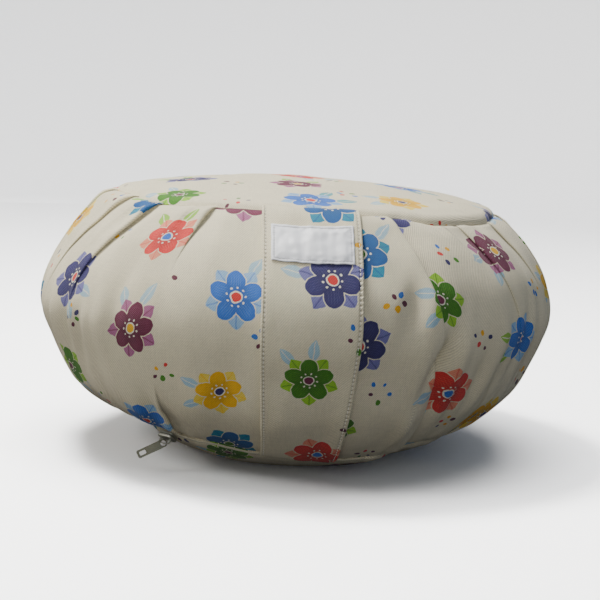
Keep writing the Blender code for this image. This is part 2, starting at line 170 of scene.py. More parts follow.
DENTS = tuple(Dent(*row) for row in (
    (14, 158, 20, 5, -14, 0.9), (18, 152, 24, 5, -14, -0.9), (20.5, 116, 24, 6.5, 20, -2.4),
    (24, 90, 30, 6, 4, 2.1), (28.9, 86, 22, 5.0, 16, -5.4), (30.5, 60, 26, 6.5, -8, -3.8),
    (25.5, 38, 22, 5.5, -8, 2.9), (33.5, 80, 30, 5.5, 8, 1.5), (36.5, 56, 26, 4.5, -8, -2.2),
    (36, 68, 22, 5, -4, 0.9), (41, 68, 26, 4.5, -6, -1.7), (44.5, 80, 40, 5.5, 4, 1.2),
    (48, 70, 36, 4.6, 4, -1.6), (54.5, 97, 24, 4.5, 10, -1.9), (57.5, 104, 34, 5, 4, 1.1),
    (61, 92, 40, 5, 2, -1.4), (66, 80, 36, 6, 2, 1.2), (70, 96, 40, 5, -2, -1.2),
    (-18, 58, 36, 9, 8, -1.3), (-24, 70, 40, 8, -6, 0.8), (-41.5, 118, 34, 7, 12, -1.2),
    (-36, 96, 36, 8, -8, 0.8), (-46, 84, 44, 8, -4, 1.3), (-51.5, 88, 26, 5, 6, 0.9),
    (-55.5, 82, 24, 5, 18, -1.9), (-58, 96, 20, 4.5, 14, 0.8), (-60, 92, 24, 5, 14, -2.0),
    (-65, 100, 34, 6, 6, 1.2), (-69, 84, 34, 5, 4, -1.4), (-37, 44, 14, 4.5, -14, -1.6),
    (-42, 40, 18, 5, -10, 1.5), (-52, 46, 24, 6, -4, -1.3), (-80, 96, 50, 8, 4, -1.9),
    (-88, 62, 26, 5, -8, -1.6), (-96, 84, 44, 8, -6, 1.6), (-103, 76, 30, 5, 10, -1.9),
    (-114, 100, 46, 7, 6, -2.3), (-124, 66, 30, 6, -8, 1.5), (-133, 78, 44, 7, -4, -2.2),
    (-145, 112, 26, 5, 12, -1.6), (-152, 96, 46, 8, 4, 1.8), (-158, 62, 26, 5, -10, -1.9),
    (-172, 90, 50, 7, -5, -2.3), (79, 100, 46, 6, -6, -2.1), (87, 64, 28, 5, 8, -1.7),
    (95, 86, 46, 8, 5, 1.7), (102, 108, 26, 5, -10, -1.6), (114, 92, 50, 7, -4, -2.3),
    (125, 66, 30, 5, 8, -1.8), (134, 88, 42, 8, 6, 1.6), (141, 104, 30, 5, -8, -1.8),
    (153, 80, 48, 7, -5, -2.1), (162, 104, 30, 6, 8, 1.5), (171, 82, 40, 6, 4, -2.0),
))


@dataclass(frozen=True, eq=False)
class CushionForm:
    """The shape of the filled cushion that every cloth piece is laid over.

    Lengths are in metres. Lifts are heights over the plain outline, along its normal.
    """

    outline: tuple[Station, ...] = OUTLINE
    tuck_reach: float = 105 * MM
    tuck_raise: float = 0.13
    shoulder_arc: float = 205 * MM
    shoulder_reach: float = 62 * MM
    top_lean: float = 0.016
    seam_pinch: float = 0.8 * MM
    seam_pinch_width: float = 7 * MM
    seam_roll: float = 1.3 * MM
    seam_roll_width: float = 1.7 * MM
    valley_peak: float = 17 * MM
    valley_width: float = 8 * MM
    valley_depth: float = 1.2 * MM
    puff_height: float = 1.5 * MM
    puff_reach: float = 46 * MM
    pucker_height: float = 0.75 * MM
    pucker_reach: float = 11 * MM
    crease_height: float = 1.1 * MM
    dent_gain: float = 1.5
    points: list[tuple[float, float]] = field(default_factory=list)
    arcs: list[float] = field(default_factory=list)
    marks: dict[str, float] = field(default_factory=dict)

    def __post_init__(self) -> None:
        """Works out the outline's close points and the arc at each marked station."""
        stations = [Vector((row.radius, row.height)) for row in self.outline]
        tangents = [Vector((1, 0))]
        for before, after in zip(stations, stations[2:]):
            tangents.append((after - before).normalized())
        tangents.append(Vector((-1, 0)))
        self.points.append(tuple(stations[0]))
        self.arcs.append(0.0)
        self.marks[self.outline[0].mark] = 0.0
        for index, (start, end) in enumerate(zip(stations, stations[1:])):
            reach = (end - start).length / 3
            handles = (start + tangents[index] * reach, end - tangents[index + 1] * reach)
            for point in interpolate_bezier(start, *handles, end, 24)[1:]:
                last = self.points[-1]
                step = math.hypot(point[0] - last[0], point[1] - last[1])
                self.arcs.append(self.arcs[-1] + step)
                self.points.append((point[0], point[1]))
            if self.outline[index + 1].mark:
                self.marks[self.outline[index + 1].mark] = self.arcs[-1]

    @property
    def crown(self) -> float:
        """The arc at the middle of the top."""
        return self.marks["crown"]

    def on_outline(self, arc: float) -> tuple[float, float, float, float]:
        """Reads the outline at an arc.

        Args:
            arc: metres from the edge of the flat base.

        Returns:
            The radius and height there, and the outward normal's two parts.
        """
        arc = min(max(arc, 0.0), self.crown)
        index = min(max(bisect.bisect_left(self.arcs, arc), 1), len(self.arcs) - 1)
        low, high = self.arcs[index - 1], self.arcs[index]
        start, end = self.points[index - 1], self.points[index]
        share = (arc - low) / (high - low)
        out, up = end[0] - start[0], end[1] - start[1]
        run = math.hypot(out, up)
        return start[0] + out * share, start[1] + up * share, up / run, -out / run

    @lru_cache(maxsize=None)
    def arc_at_height(self, height: float) -> float:
        """The arc at which the outline reaches a height."""
        for arc, point in zip(self.arcs, self.points):
            if point[1] >= height:
                return arc
        return self.crown

    def top_seam(self, azimuth: float) -> float:
        """The arc at which the top panel's seam runs."""
        return self.marks["top seam"] - eased(SEAM_DROOP, azimuth) * MM

    def base_seam(self, azimuth: float) -> float:
        """The arc at which the base panel's seam runs."""
        return self.marks["base seam"] + eased(BASE_RISE, azimuth) * MM

    def side_arc(self, azimuth: float, share: float) -> float:
        """The arc at a share of the way up the side."""
        low = self.base_seam(azimuth)
        return low + (self.top_seam(azimuth) - low) * share

    def point(self, azimuth: float, arc: float, lift: float = 0.0) -> Vector:
        """A point over the cushion's plain outline.

        Args:
            azimuth: degrees from the middle of the band.
            arc: metres from the edge of the flat base.
            lift: metres outwards from the outline.

        Returns:
            The point in the row's frame.
        """
        radius, height, out, up = self.on_outline(arc)
        reach = math.pi / 2 * min(max(arc, 0.0) / self.tuck_reach, 1.0)
        tuck = eased(LOWER_TUCK, azimuth) * MM
        radius += out * lift - tuck * math.cos(reach) ** 2
        height += self.tuck_raise * tuck * math.sin(2 * reach) ** 2
        off = math.pi / 2 * min(abs(arc - self.shoulder_arc) / self.shoulder_reach, 1.0)
        radius -= eased(SHOULDER_TUCK, azimuth) * MM * math.cos(off) ** 2
        turn = math.radians(azimuth)
        east, south = radius * math.sin(turn), -radius * math.cos(turn)
        lean = self.top_lean * east * smooth((height - 60 * MM) / (110 * MM))
        return Vector((east, south, height + up * lift - lean))

    def seam_lift(self, from_seam: float) -> float:
        """How far stitching draws cloth in at a distance from a seam, as a negative lift."""
        pinch = self.seam_pinch * bell(from_seam, self.seam_pinch_width)
        return -(pinch + self.seam_roll * bell(from_seam, self.seam_roll_width))

    def pucker(self, azimuth: float, from_seam: float, seed: float) -> float:
        """The small gathers that stitching leaves along a seam.

        Args:
            azimuth: degrees from the middle of the band.
            from_seam: metres from the seam.
            seed: a number of the seam's own, so that no two gather alike.

        Returns:
            The lift there.
        """
        turn = math.radians(azimuth)
        around = Vector((math.sin(turn) * 17, math.cos(turn) * 17, seed + from_seam * 12))
        return self.pucker_height * bell(from_seam, self.pucker_reach) * noise.noise(around)

    def unevenness(self, azimuth: float, arc: float) -> float:
        """The filling's own lumps and the cloth's long upright creases.

        Args:
            azimuth: degrees from the middle of the band.
            arc: metres from the edge of the flat base.

        Returns:
            The lift there.
        """
        turn = math.radians(azimuth)
        east, north = math.sin(turn), math.cos(turn)
        lumps = noise.noise(Vector((east * 3.2, north * 3.2, arc * 16 + 5)))
        creases = noise.noise(Vector((east * 10, north * 10, arc * 9 + 40)))
        fine = noise.noise(Vector((east * 21, north * 21, arc * 34 + 90)))
        return self.crease_height * (1.2 * lumps + 1.1 * creases + 0.5 * fine)

    def dents(self, azimuth: float, arc: float, radius: float) -> float:
        """The sum of the soft folds at a point of the side.

        Args:
            azimuth: degrees from the middle of the band.
            arc: metres from the edge of the flat base.
            radius: the outline's radius there.

        Returns:
            The lift there.
        """
        lift = 0.0
        for dent in DENTS:
            turn = (azimuth - dent.azimuth + 180) % 360 - 180
            if abs(turn) > 16:
                continue
            across = math.radians(turn) * radius / MM
            along = (arc - self.arc_at_height(dent.height * MM)) / MM
            lean = math.radians(dent.lean)
            straight = across * math.cos(lean) - along * math.sin(lean)
            upright = across * math.sin(lean) + along * math.cos(lean)
            size = (straight / dent.width) ** 2 + (upright / dent.run) ** 2
            if size < 7:
                lift += self.dent_gain * dent.lift * MM * math.exp(-size)
        return lift


def eased(table: Sequence[Sway], azimuth: float) -> float:
    """Reads a table of sways, eased between its rows.

    Args:
        table: the sways, by rising azimuth.
        azimuth: degrees from the middle of the band.

    Returns:
        The length there, in millimetres.
    """
    azimuth = (azimuth + 180) % 360 - 180
    for low, high in zip(table, table[1:]):
        if azimuth <= high.azimuth:
            share = (azimuth - low.azimuth) / (high.azimuth - low.azimuth)
            return low.length + (high.length - low.length) * smooth(share)
    return table[-1].length


def smooth(share: float) -> float:
    """Eases a share between 0 and 1."""
    share = min(max(share, 0.0), 1.0)
    return share * share * (3 - 2 * share)


def bell(distance: float, width: float) -> float:
    """1 at no distance, falling softly to almost nothing at two widths."""
    return math.exp(-((distance / width) ** 2))


def stitch_beat(place: float, pitch: float) -> float:
    """1 at each needle hole along a seam, and 0 half way between two."""
    return 0.5 + 0.5 * math.cos(math.tau * place / pitch)


def graded(count: int, ends: float) -> list[float]:
    """Shares from 0 to 1, set closer together towards both ends.

    Args:
        count: how many steps there are.
        ends: 0 for even steps, up to 1 for the strongest grading.

    Returns:
        count + 1 shares.
    """
    even = [step / count for step in range(count + 1)]
    return [share - ends * math.sin(math.tau * share) / math.tau for share in even]


# --------------------------------------------------------------------------- making pieces


class Finish(Enum):
    """The record's material slots."""

    CLOTH = "cloth"
    LABEL = "label"
    ZIP_TAPE = "zip_tape"
    ZIP_METAL = "zip_metal"


Placer = Callable[[int, int], tuple[Vector, float, float]]


def laid_cloth(
    name: str,
    columns: int,
    rows: int,
    place: Placer,
    round_joined: bool,
    painted_shade: Callable[[int, int], float] | None = None,
) -> bpy.types.Object:
    """Lays a grid of cloth over the form.

    Args:
        name: the piece's name.
        columns: how many columns of vertices the grid has.
        rows: how many rows of vertices it has.
        place: gives a vertex's point and its place on the cut cloth, by column and row.
        round_joined: whether the first and last columns are sewn together.
        painted_shade: how much painted shade a vertex takes, 0 to 1, if any, in pleats' creases,
            needle holes and along stitch lines.

    Returns:
        The cloth as an object at the origin, with a UV map named cut.
    """
    builder = bmesh.new()
    bmesh.ops.create_grid(
        builder, x_segments=columns - 1, y_segments=rows - 1, size=0.5, calc_uvs=False
    )
    cut = builder.loops.layers.uv.new("cut")
    # a vertex layer of painted shade, which the cloth materials turn into a darker tone
    press = builder.verts.layers.float.new("painted_shade")
    places = {}
    for vertex in builder.verts:
        column = round((vertex.co.x + 0.5) * (columns - 1))
        row = round((vertex.co.y + 0.5) * (rows - 1))
        point, across, along = place(column, row)
        places[vertex] = (across, along)
        vertex[press] = painted_shade(column, row) if painted_shade else 0.0
        vertex.co = point
    for face in builder.faces:
        for loop in face.loops:
            loop[cut].uv = places[loop.vert]
    if round_joined:
        bmesh.ops.remove_doubles(builder, verts=builder.verts, dist=0.01 * MM)
    bmesh.ops.recalc_face_normals(builder, faces=builder.faces)
    return as_object(name, builder)


def as_object(name: str, builder: bmesh.types.BMesh) -> bpy.types.Object:
    """Turns a bmesh into a linked, smooth-shaded object at the origin.

    Args:
        name: the piece's name.
        builder: its shape, which is freed.

    Returns:
        The new object.
    """
    for face in builder.faces:
        face.smooth = True
    mesh = bpy.data.meshes.new(name)
    builder.to_mesh(mesh)
    builder.free()
    made = bpy.data.objects.new(name, mesh)
    bpy.context.scene.collection.objects.link(made)
    return made


def thicken(piece: bpy.types.Object, thickness: float) -> None:
    """Gives a sheet its thickness, inwards from its outer face."""
    solid = piece.modifiers.new("thickness", "SOLIDIFY")
    solid.thickness = thickness
    solid.offset = -1.0
    solid.use_even_offset = False
    solid.use_rim = True


def dress(
    piece: bpy.types.Object,
    look: bpy.types.Material,
    finish: Finish,
    nodes: Iterable[str] = (),
) -> bpy.types.Object:
    """Args:
        piece: the finished piece.
        look: its material.
        finish: the record's slot meant for it; not used.
        nodes: the CAD nodes it replaces.

    Returns:
        The same piece.
    """
    piece.data.materials.clear()
    piece.data.materials.append(look)
    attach(piece, "root")
    if nodes:
        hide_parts(*nodes)
    log.info("%s: %d faces", piece.name, len(piece.data.polygons))
    return piece


# ------------------------------------------------------------------------------- side strip


class FoldColumn(NamedTuple):
    """One column of cloth through a pleat, in millimetres and shares of its lap."""

    across: float
    under: float
    lift: float
    beyond: bool


FOLD = (
    FoldColumn(-13.0, 0.0, 0.06, False),
    FoldColumn(-9.0, 0.0, 0.26, False),
    FoldColumn(-5.8, 0.0, 0.58, False),
    FoldColumn(-3.3, 0.0, 0.86, False),
    FoldColumn(-1.6, 0.0, 1.00, False),
    FoldColumn(-0.6, 0.1, 0.94, False),
    FoldColumn(-0.1, 0.3, 0.70, False),
    FoldColumn(0.1, 0.2, 0.36, False),
    FoldColumn(0.3, -0.55, 0.02, True),
    FoldColumn(0.6, -0.40, -0.34, True),
    FoldColumn(1.4, 0.0, -0.48, True),
    FoldColumn(3.2, 0.0, -0.45, True),
    FoldColumn(6.2, 0.0, -0.31, True),
    FoldColumn(9.8, 0.0, -0.14, True),
    FoldColumn(14.0, 0.0, -0.03, True),
)


class Strand(NamedTuple):
    """One column of the side strip: the gore it is in, and its place there.

    fold is the row of FOLD it follows at the gore's left or right pleat, or None between
    them, where share says how far across it lies.
    """

    gore: int
    pleat: int
    fold: FoldColumn | None
    share: float


@dataclass
class FilledBody:
    """The filled cushion with its pleated side strip, closed under both round panels."""

    form: CushionForm
    column_pitch: float = 3.2 * MM
    row_count: int = 92
    bed_rows: int = 4
    bed_depth: float = 3.2 * MM
    bed_flat_share: float = 0.3
    fold_long: float = 14 * MM
    fold_short: float = 13 * MM
    lap_press: float = 0.35
    lap_rise: float = 11 * MM
    lap_full: float = 1.6 * MM
    # lap height at which the painted shade in a pleat's crease is at its darkest
    crease_full: float = 1.2 * MM
    base_draw: float = 0.8
    uneven_fade: float = 22 * MM
    dent_fade: float = 12 * MM
    puff_rise: float = 14 * MM
    wide_gore: float = 24.0

    def __post_init__(self) -> None:
        """Lists the strip's columns, gore by gore, and its rows."""
        self.radius = max(row.radius for row in self.form.outline)
        self.order = sorted(range(len(PLEATS)), key=lambda index: PLEATS[index].middle)
        self.strands: list[Strand] = []
        for gore, index in enumerate(self.order):
            for fold in self.fold_of(PLEATS[index]):
                self.strands.append(Strand(gore, index, fold, 0.0))
            start, end = self.lines(gore, 0.5)
            width = math.radians(end - start) * self.radius - self.fold_long - self.fold_short
            count = max(int(width / self.column_pitch), 3)
            for step in range(1, count):
                self.strands.append(Strand(gore, index, None, step / count))
        self.strands.append(self.strands[0]._replace(gore=len(self.order)))
        self.rows = graded(self.row_count, 0.72)

    @staticmethod
    def fold_of(pleat: Pleat) -> list[FoldColumn]:
        """The pleat's columns from left to right, turned round where its lip faces left."""
        if pleat.lip > 0:
            return list(FOLD)
        return [
            FoldColumn(-fold.across, -fold.under, fold.lift, not fold.beyond)
            for fold in reversed(FOLD)
        ]

    def line(self, gore: int, share: float) -> float:
        """The azimuth of the pleat at a gore's left.

        Args:
            gore: the gore's number, which may run on past a full round.
            share: of the way up the side.

        Returns:
            Degrees from the middle of the band.
        """
        turns, index = divmod(gore, len(self.order))
        pleat = PLEATS[self.order[index]]
        bend = pleat.middle - (pleat.top + pleat.base) / 2
        plain = pleat.base * (1 - share) + pleat.top * share
        return plain + bend * 4 * share * (1 - share) + 360 * turns

    def lines(self, gore: int, share: float) -> tuple[float, float]:
        """The azimuths of the two pleats beside a gore."""
        return self.line(gore, share), self.line(gore + 1, share)

    def cloth_line(self, gore: int) -> float:
        """The pleat's place along the cut strip, in metres."""
        return math.radians(self.line(gore, 0.5)) * self.radius

    def lap(self, pleat: Pleat, from_base: float, from_top: float) -> float:
        """How high a pleat's lip stands.

        Args:
            pleat: the pleat.
            from_base: metres from the base seam.
            from_top: metres from the top seam.

        Returns:
            The lip's height.
        """
        total = 0.0
        ends = (
            (pleat.top_lap, pleat.top_run, from_top),
            (pleat.base_lap, pleat.base_run, from_base),
        )
        for height, run, distance in ends:
            press = self.lap_press + (1 - self.lap_press) * smooth(distance / self.lap_rise)
            total += height * MM * press * smooth(1 - distance / (run * MM))
        return total

    def soft_lift(self, gore: int, azimuth: float, share: float, arc: float) -> float:
        """The side's lift apart from the pleats' lips: puffs, valleys, dents and creases.

        Args:
            gore: the gore's number.
            azimuth: degrees from the middle of the band.
            share: of the way up the side.
            arc: metres from the edge of the flat base.

        Returns:
            The lift there.
        """
        form = self.form
        radius = form.on_outline(arc)[0]
        start, end = self.lines(gore, share)
        low, high = form.base_seam(azimuth), form.top_seam(azimuth)
        from_base, from_top = max(arc - low, 0.0), max(high - arc, 0.0)
        lift = form.seam_lift(from_top) + self.base_draw * form.seam_lift(from_base)
        lift += form.pucker(azimuth, from_top, 3.0) + form.pucker(azimuth, from_base, 31.0)
        near_seam = min(from_base, from_top)
        lift += smooth(near_seam / self.uneven_fade) * form.unevenness(azimuth, arc)
        lift += smooth(near_seam / self.dent_fade) * form.dents(azimuth, arc, radius)
        across = (azimuth - start) / (end - start)
        narrow = min(1.0, self.wide_gore / (end - start))
        puff = math.sin(math.pi * min(max(across, 0.0), 1.0)) ** 0.8
        for distance in (from_base, from_top):
            reach = distance / form.valley_peak
            peak = reach * math.exp(1 - reach)
            swell = smooth(distance / self.puff_rise) * bell(distance, form.puff_reach)
            lift += form.puff_height * narrow * puff * swell
            for line in (start, end):
                off = math.radians(azimuth - line) * radius
                lift -= form.valley_depth * peak * bell(off, form.valley_width)
        return lift

    def strand_place(self, strand: Strand, share: float) -> Triple:
        """Where a column lies.

        Args:
            strand: the column.
            share: of the way up the side.

        Returns:
            Its azimuth, its place along the cut strip, and its lift from the pleat's lip.
        """
        form = self.form
        start, end = self.lines(strand.gore, share)
        arc = form.side_arc(start, share)
        per_degree = math.radians(1) * form.on_outline(arc)[0]
        hidden_after = self.hidden(strand.gore, start, end, per_degree)
        if strand.fold is None:
            after = PLEATS[self.order[(strand.gore + 1) % len(self.order)]]
            from_start = self.fold_long if PLEATS[strand.pleat].lip > 0 else self.fold_short
            to_end = self.fold_long if after.lip < 0 else self.fold_short
            from_start, to_end = from_start / per_degree, to_end / per_degree
            inner = end - to_end - start - from_start
            azimuth = start + from_start + inner * strand.share
            along = self.cloth_line(strand.gore) + hidden_after + (azimuth - start) * per_degree
            return azimuth, along, 0.0
        pleat = PLEATS[strand.pleat]
        low, high = form.base_seam(start), form.top_seam(start)
        height = self.lap(pleat, arc - low, high - arc)
        full = min(height / self.lap_full, 1.0)
        across = (strand.fold.across + strand.fold.under * full) * MM
        azimuth = start + across / per_degree
        if strand.fold.beyond == (pleat.lip > 0):
            along = self.cloth_line(strand.gore) + hidden_after + across
        else:
            before = self.line(strand.gore - 1, share)
            hidden_before = self.hidden(strand.gore - 1, before, start, per_degree)
            along = self.cloth_line(strand.gore) - hidden_before + across
        return azimuth, along, strand.fold.lift * height

    def crease(self, strand: Strand, share: float) -> float:
        """How much painted shade a column takes in the crease at the foot of a pleat's lip.

        Args:
            strand: the column.
            share: of the way up the side.

        Returns:
            0 outside the crease, up to 1 for the darkest painted shade in it.
        """
        if strand.fold is None or strand.fold.lift > 0.1 or strand.fold.under == 0:
            return 0.0
        start = self.line(strand.gore, share)
        side = self.form.top_seam(start) - self.form.base_seam(start)
        height = self.lap(PLEATS[strand.pleat], side * share, side * (1 - share))
        return min(height / self.crease_full, 1.0) * min(1.8 * abs(strand.fold.under), 1.0)

    def hidden(self, gore: int, start: float, end: float, per_degree: float) -> float:
        """Half the cloth of a gore that its two pleats hide, in metres."""
        cut = self.cloth_line(gore + 1) - self.cloth_line(gore)
        return (cut - (end - start) * per_degree) / 2

    def build(self) -> bpy.types.Object:
        """Lays the strip round the cushion and closes it under both panels."""
        form = self.form
        below = [step / (self.bed_rows + 1) for step in range(self.bed_rows + 1)]
        rows = [("base bed", share) for share in below]
        rows += [("side", share) for share in self.rows]
        rows += [("crown bed", 1 - share) for share in reversed(below)]
        columns = {
            strand: {share: self.strand_place(strand, share) for share in self.rows}
            for strand in set(self.strands)
        }

        def place(column: int, row: int) -> tuple[Vector, float, float]:
            strand = self.strands[column]
            zone, share = rows[row]
            if zone == "side":
                azimuth, along, lip = columns[strand][share]
                arc = form.side_arc(azimuth, share)
                lift = lip + self.soft_lift(strand.gore, azimuth, share, arc)
                return form.point(azimuth, arc, lift), along, arc
            if zone == "base bed":
                azimuth, along, _ = columns[strand][self.rows[0]]
                arc = form.base_seam(azimuth) * share
                if share > self.bed_flat_share:
                    bed = form.point(azimuth, arc, -self.bed_depth)
                else:
                    bed = share * form.point(azimuth, form.base_seam(azimuth), -self.bed_depth)
                bed.z = max(bed.z, self.bed_depth)
                return bed, along, arc
            azimuth, along, _ = columns[strand][self.rows[-1]]
            arc = form.top_seam(azimuth) + (form.crown - form.top_seam(azimuth)) * share
            return form.point(azimuth, arc, -self.bed_depth), along, arc

        # painted shade in the creases at the foot of the pleats' lips, for the material to darken
        def painted_shade(column: int, row: int) -> float:
            zone, share = rows[row]
            return self.crease(self.strands[column], share) if zone == "side" else 0.0

        return laid_cloth("filled_body_cover", len(self.strands), len(rows), place, True, painted_shade)


# ---------------------------------------------------------------------------- round panels


@dataclass
class RoundPanel:
    """A round panel of the cover: the top one, or the base one that the cushion stands on."""

    form: CushionForm
    is_top: bool
    columns: int = 300
    row_count: int = 44
    thickness: float = 1.4 * MM
    ridge: float = 0.8 * MM
    ridge_at: float = 6 * MM
    welt: float = 1.1 * MM
    welt_width: float = 3.4 * MM
    zip_start: float = -49.0
    zip_end: float = 24.0
    open_until: float = -33.0

    @property
    def flat(self) -> tuple[float, float]:
        """The size of the square of cloth that the panel is cut from."""
        across = self.seam_to_middle(90) + self.seam_to_middle(-90)
        along = self.seam_to_middle(0) + self.seam_to_middle(180)
        return across, along

    @property
    def area(self) -> float:
        """The panel's flat area."""
        turns = [math.pi * self.seam_to_middle(azimuth) ** 2 for azimuth in range(-180, 180, 5)]
        return min(sum(turns) / len(turns), self.flat[0] * self.flat[1])

    def seam_to_middle(self, azimuth: float) -> float:
        """The length of cloth from the seam to the middle of the panel."""
        if self.is_top:
            return self.form.crown - self.form.top_seam(azimuth)
        return self.form.base_seam(azimuth) + self.form.outline[0].radius

    def lift(self, azimuth: float, from_seam: float) -> float:
        """The panel's lift over the plain outline.

        Args:
            azimuth: degrees from the middle of the band.
            from_seam: metres from its seam.

        Returns:
            The lift of its outer face.
        """
        form = self.form
        seed = 12.0 if self.is_top else 55.0
        lift = form.seam_lift(from_seam) + form.pucker(azimuth, from_seam, seed)
        lift += self.ridge * bell(from_seam - self.ridge_at, 4 * MM)
        turn = math.radians(azimuth)
        out = self.seam_to_middle(azimuth) - from_seam
        east, north = out * math.sin(turn), out * math.cos(turn)
        if self.is_top:
            lumps = noise.noise(Vector((east * 17 + 3, north * 17, 7)))
            lumps += 0.35 * noise.noise(Vector((east * 48, north * 48, 21)))
            lift += 1.5 * MM * smooth(from_seam / (25 * MM)) * lumps
        return lift

    def zip_welt(self, azimuth: float, from_seam: float) -> float:
        """The lip of cloth that covers the zip, laid back beside the slider."""
        along = smooth((azimuth - self.open_until) / 5) * smooth((self.zip_end + 4 - azimuth) / 6)
        return self.welt * along * bell(from_seam - self.welt_width * 0.55, self.welt_width * 0.5)

    def build(self) -> bpy.types.Object:
        """Lays the panel over the cushion and gives it its thickness."""
        form = self.form
        steps = [step / self.row_count for step in range(self.row_count + 1)]
        shares = [(1 - (1 - step) ** 0.62) ** 1.35 for step in steps]

        def place(column: int, row: int) -> tuple[Vector, float, float]:
            azimuth = 360 * column / (self.columns - 1) - 180
            whole = self.seam_to_middle(azimuth)
            edge = self.edge_gap(azimuth)
            from_seam = edge + (whole - edge) * shares[row]
            turn = math.radians(azimuth)
            out = whole - from_seam
            cut = (out * math.sin(turn), -out * math.cos(turn))
            lift = self.lift(azimuth, from_seam - edge)
            if self.is_top:
                arc = form.top_seam(azimuth) + from_seam
                point = form.point(azimuth, arc, lift)
            else:
                arc = form.base_seam(azimuth) - from_seam
                lift += self.zip_welt(azimuth, from_seam)
                if arc < 0:
                    share = max(1 + arc / form.outline[0].radius, 0.0)
                    point = form.point(azimuth, 0.0) * share
                    point.z = 0.0
                else:
                    point = form.point(azimuth, arc, lift * smooth(arc / (30 * MM)))
                    point.z = max(point.z, 0.0)
            return point, *cut

        name = "top_panel_cloth" if self.is_top else "base_panel_cloth"
        panel = laid_cloth(name, self.columns, self.row_count + 1, place, True)
        thicken(panel, self.thickness)
        return panel

    def edge_gap(self, azimuth: float) -> float:
        """How far the panel's edge stays from the seam line: further beside the slider."""
        gap = 0.3 * MM
        if self.is_top:
            return gap
        beside = smooth((azimuth - self.zip_start) / 3) * smooth((self.open_until - azimuth) / 5)
        return gap + 3.4 * MM * beside


# ------------------------------------------------------------------------- band and label


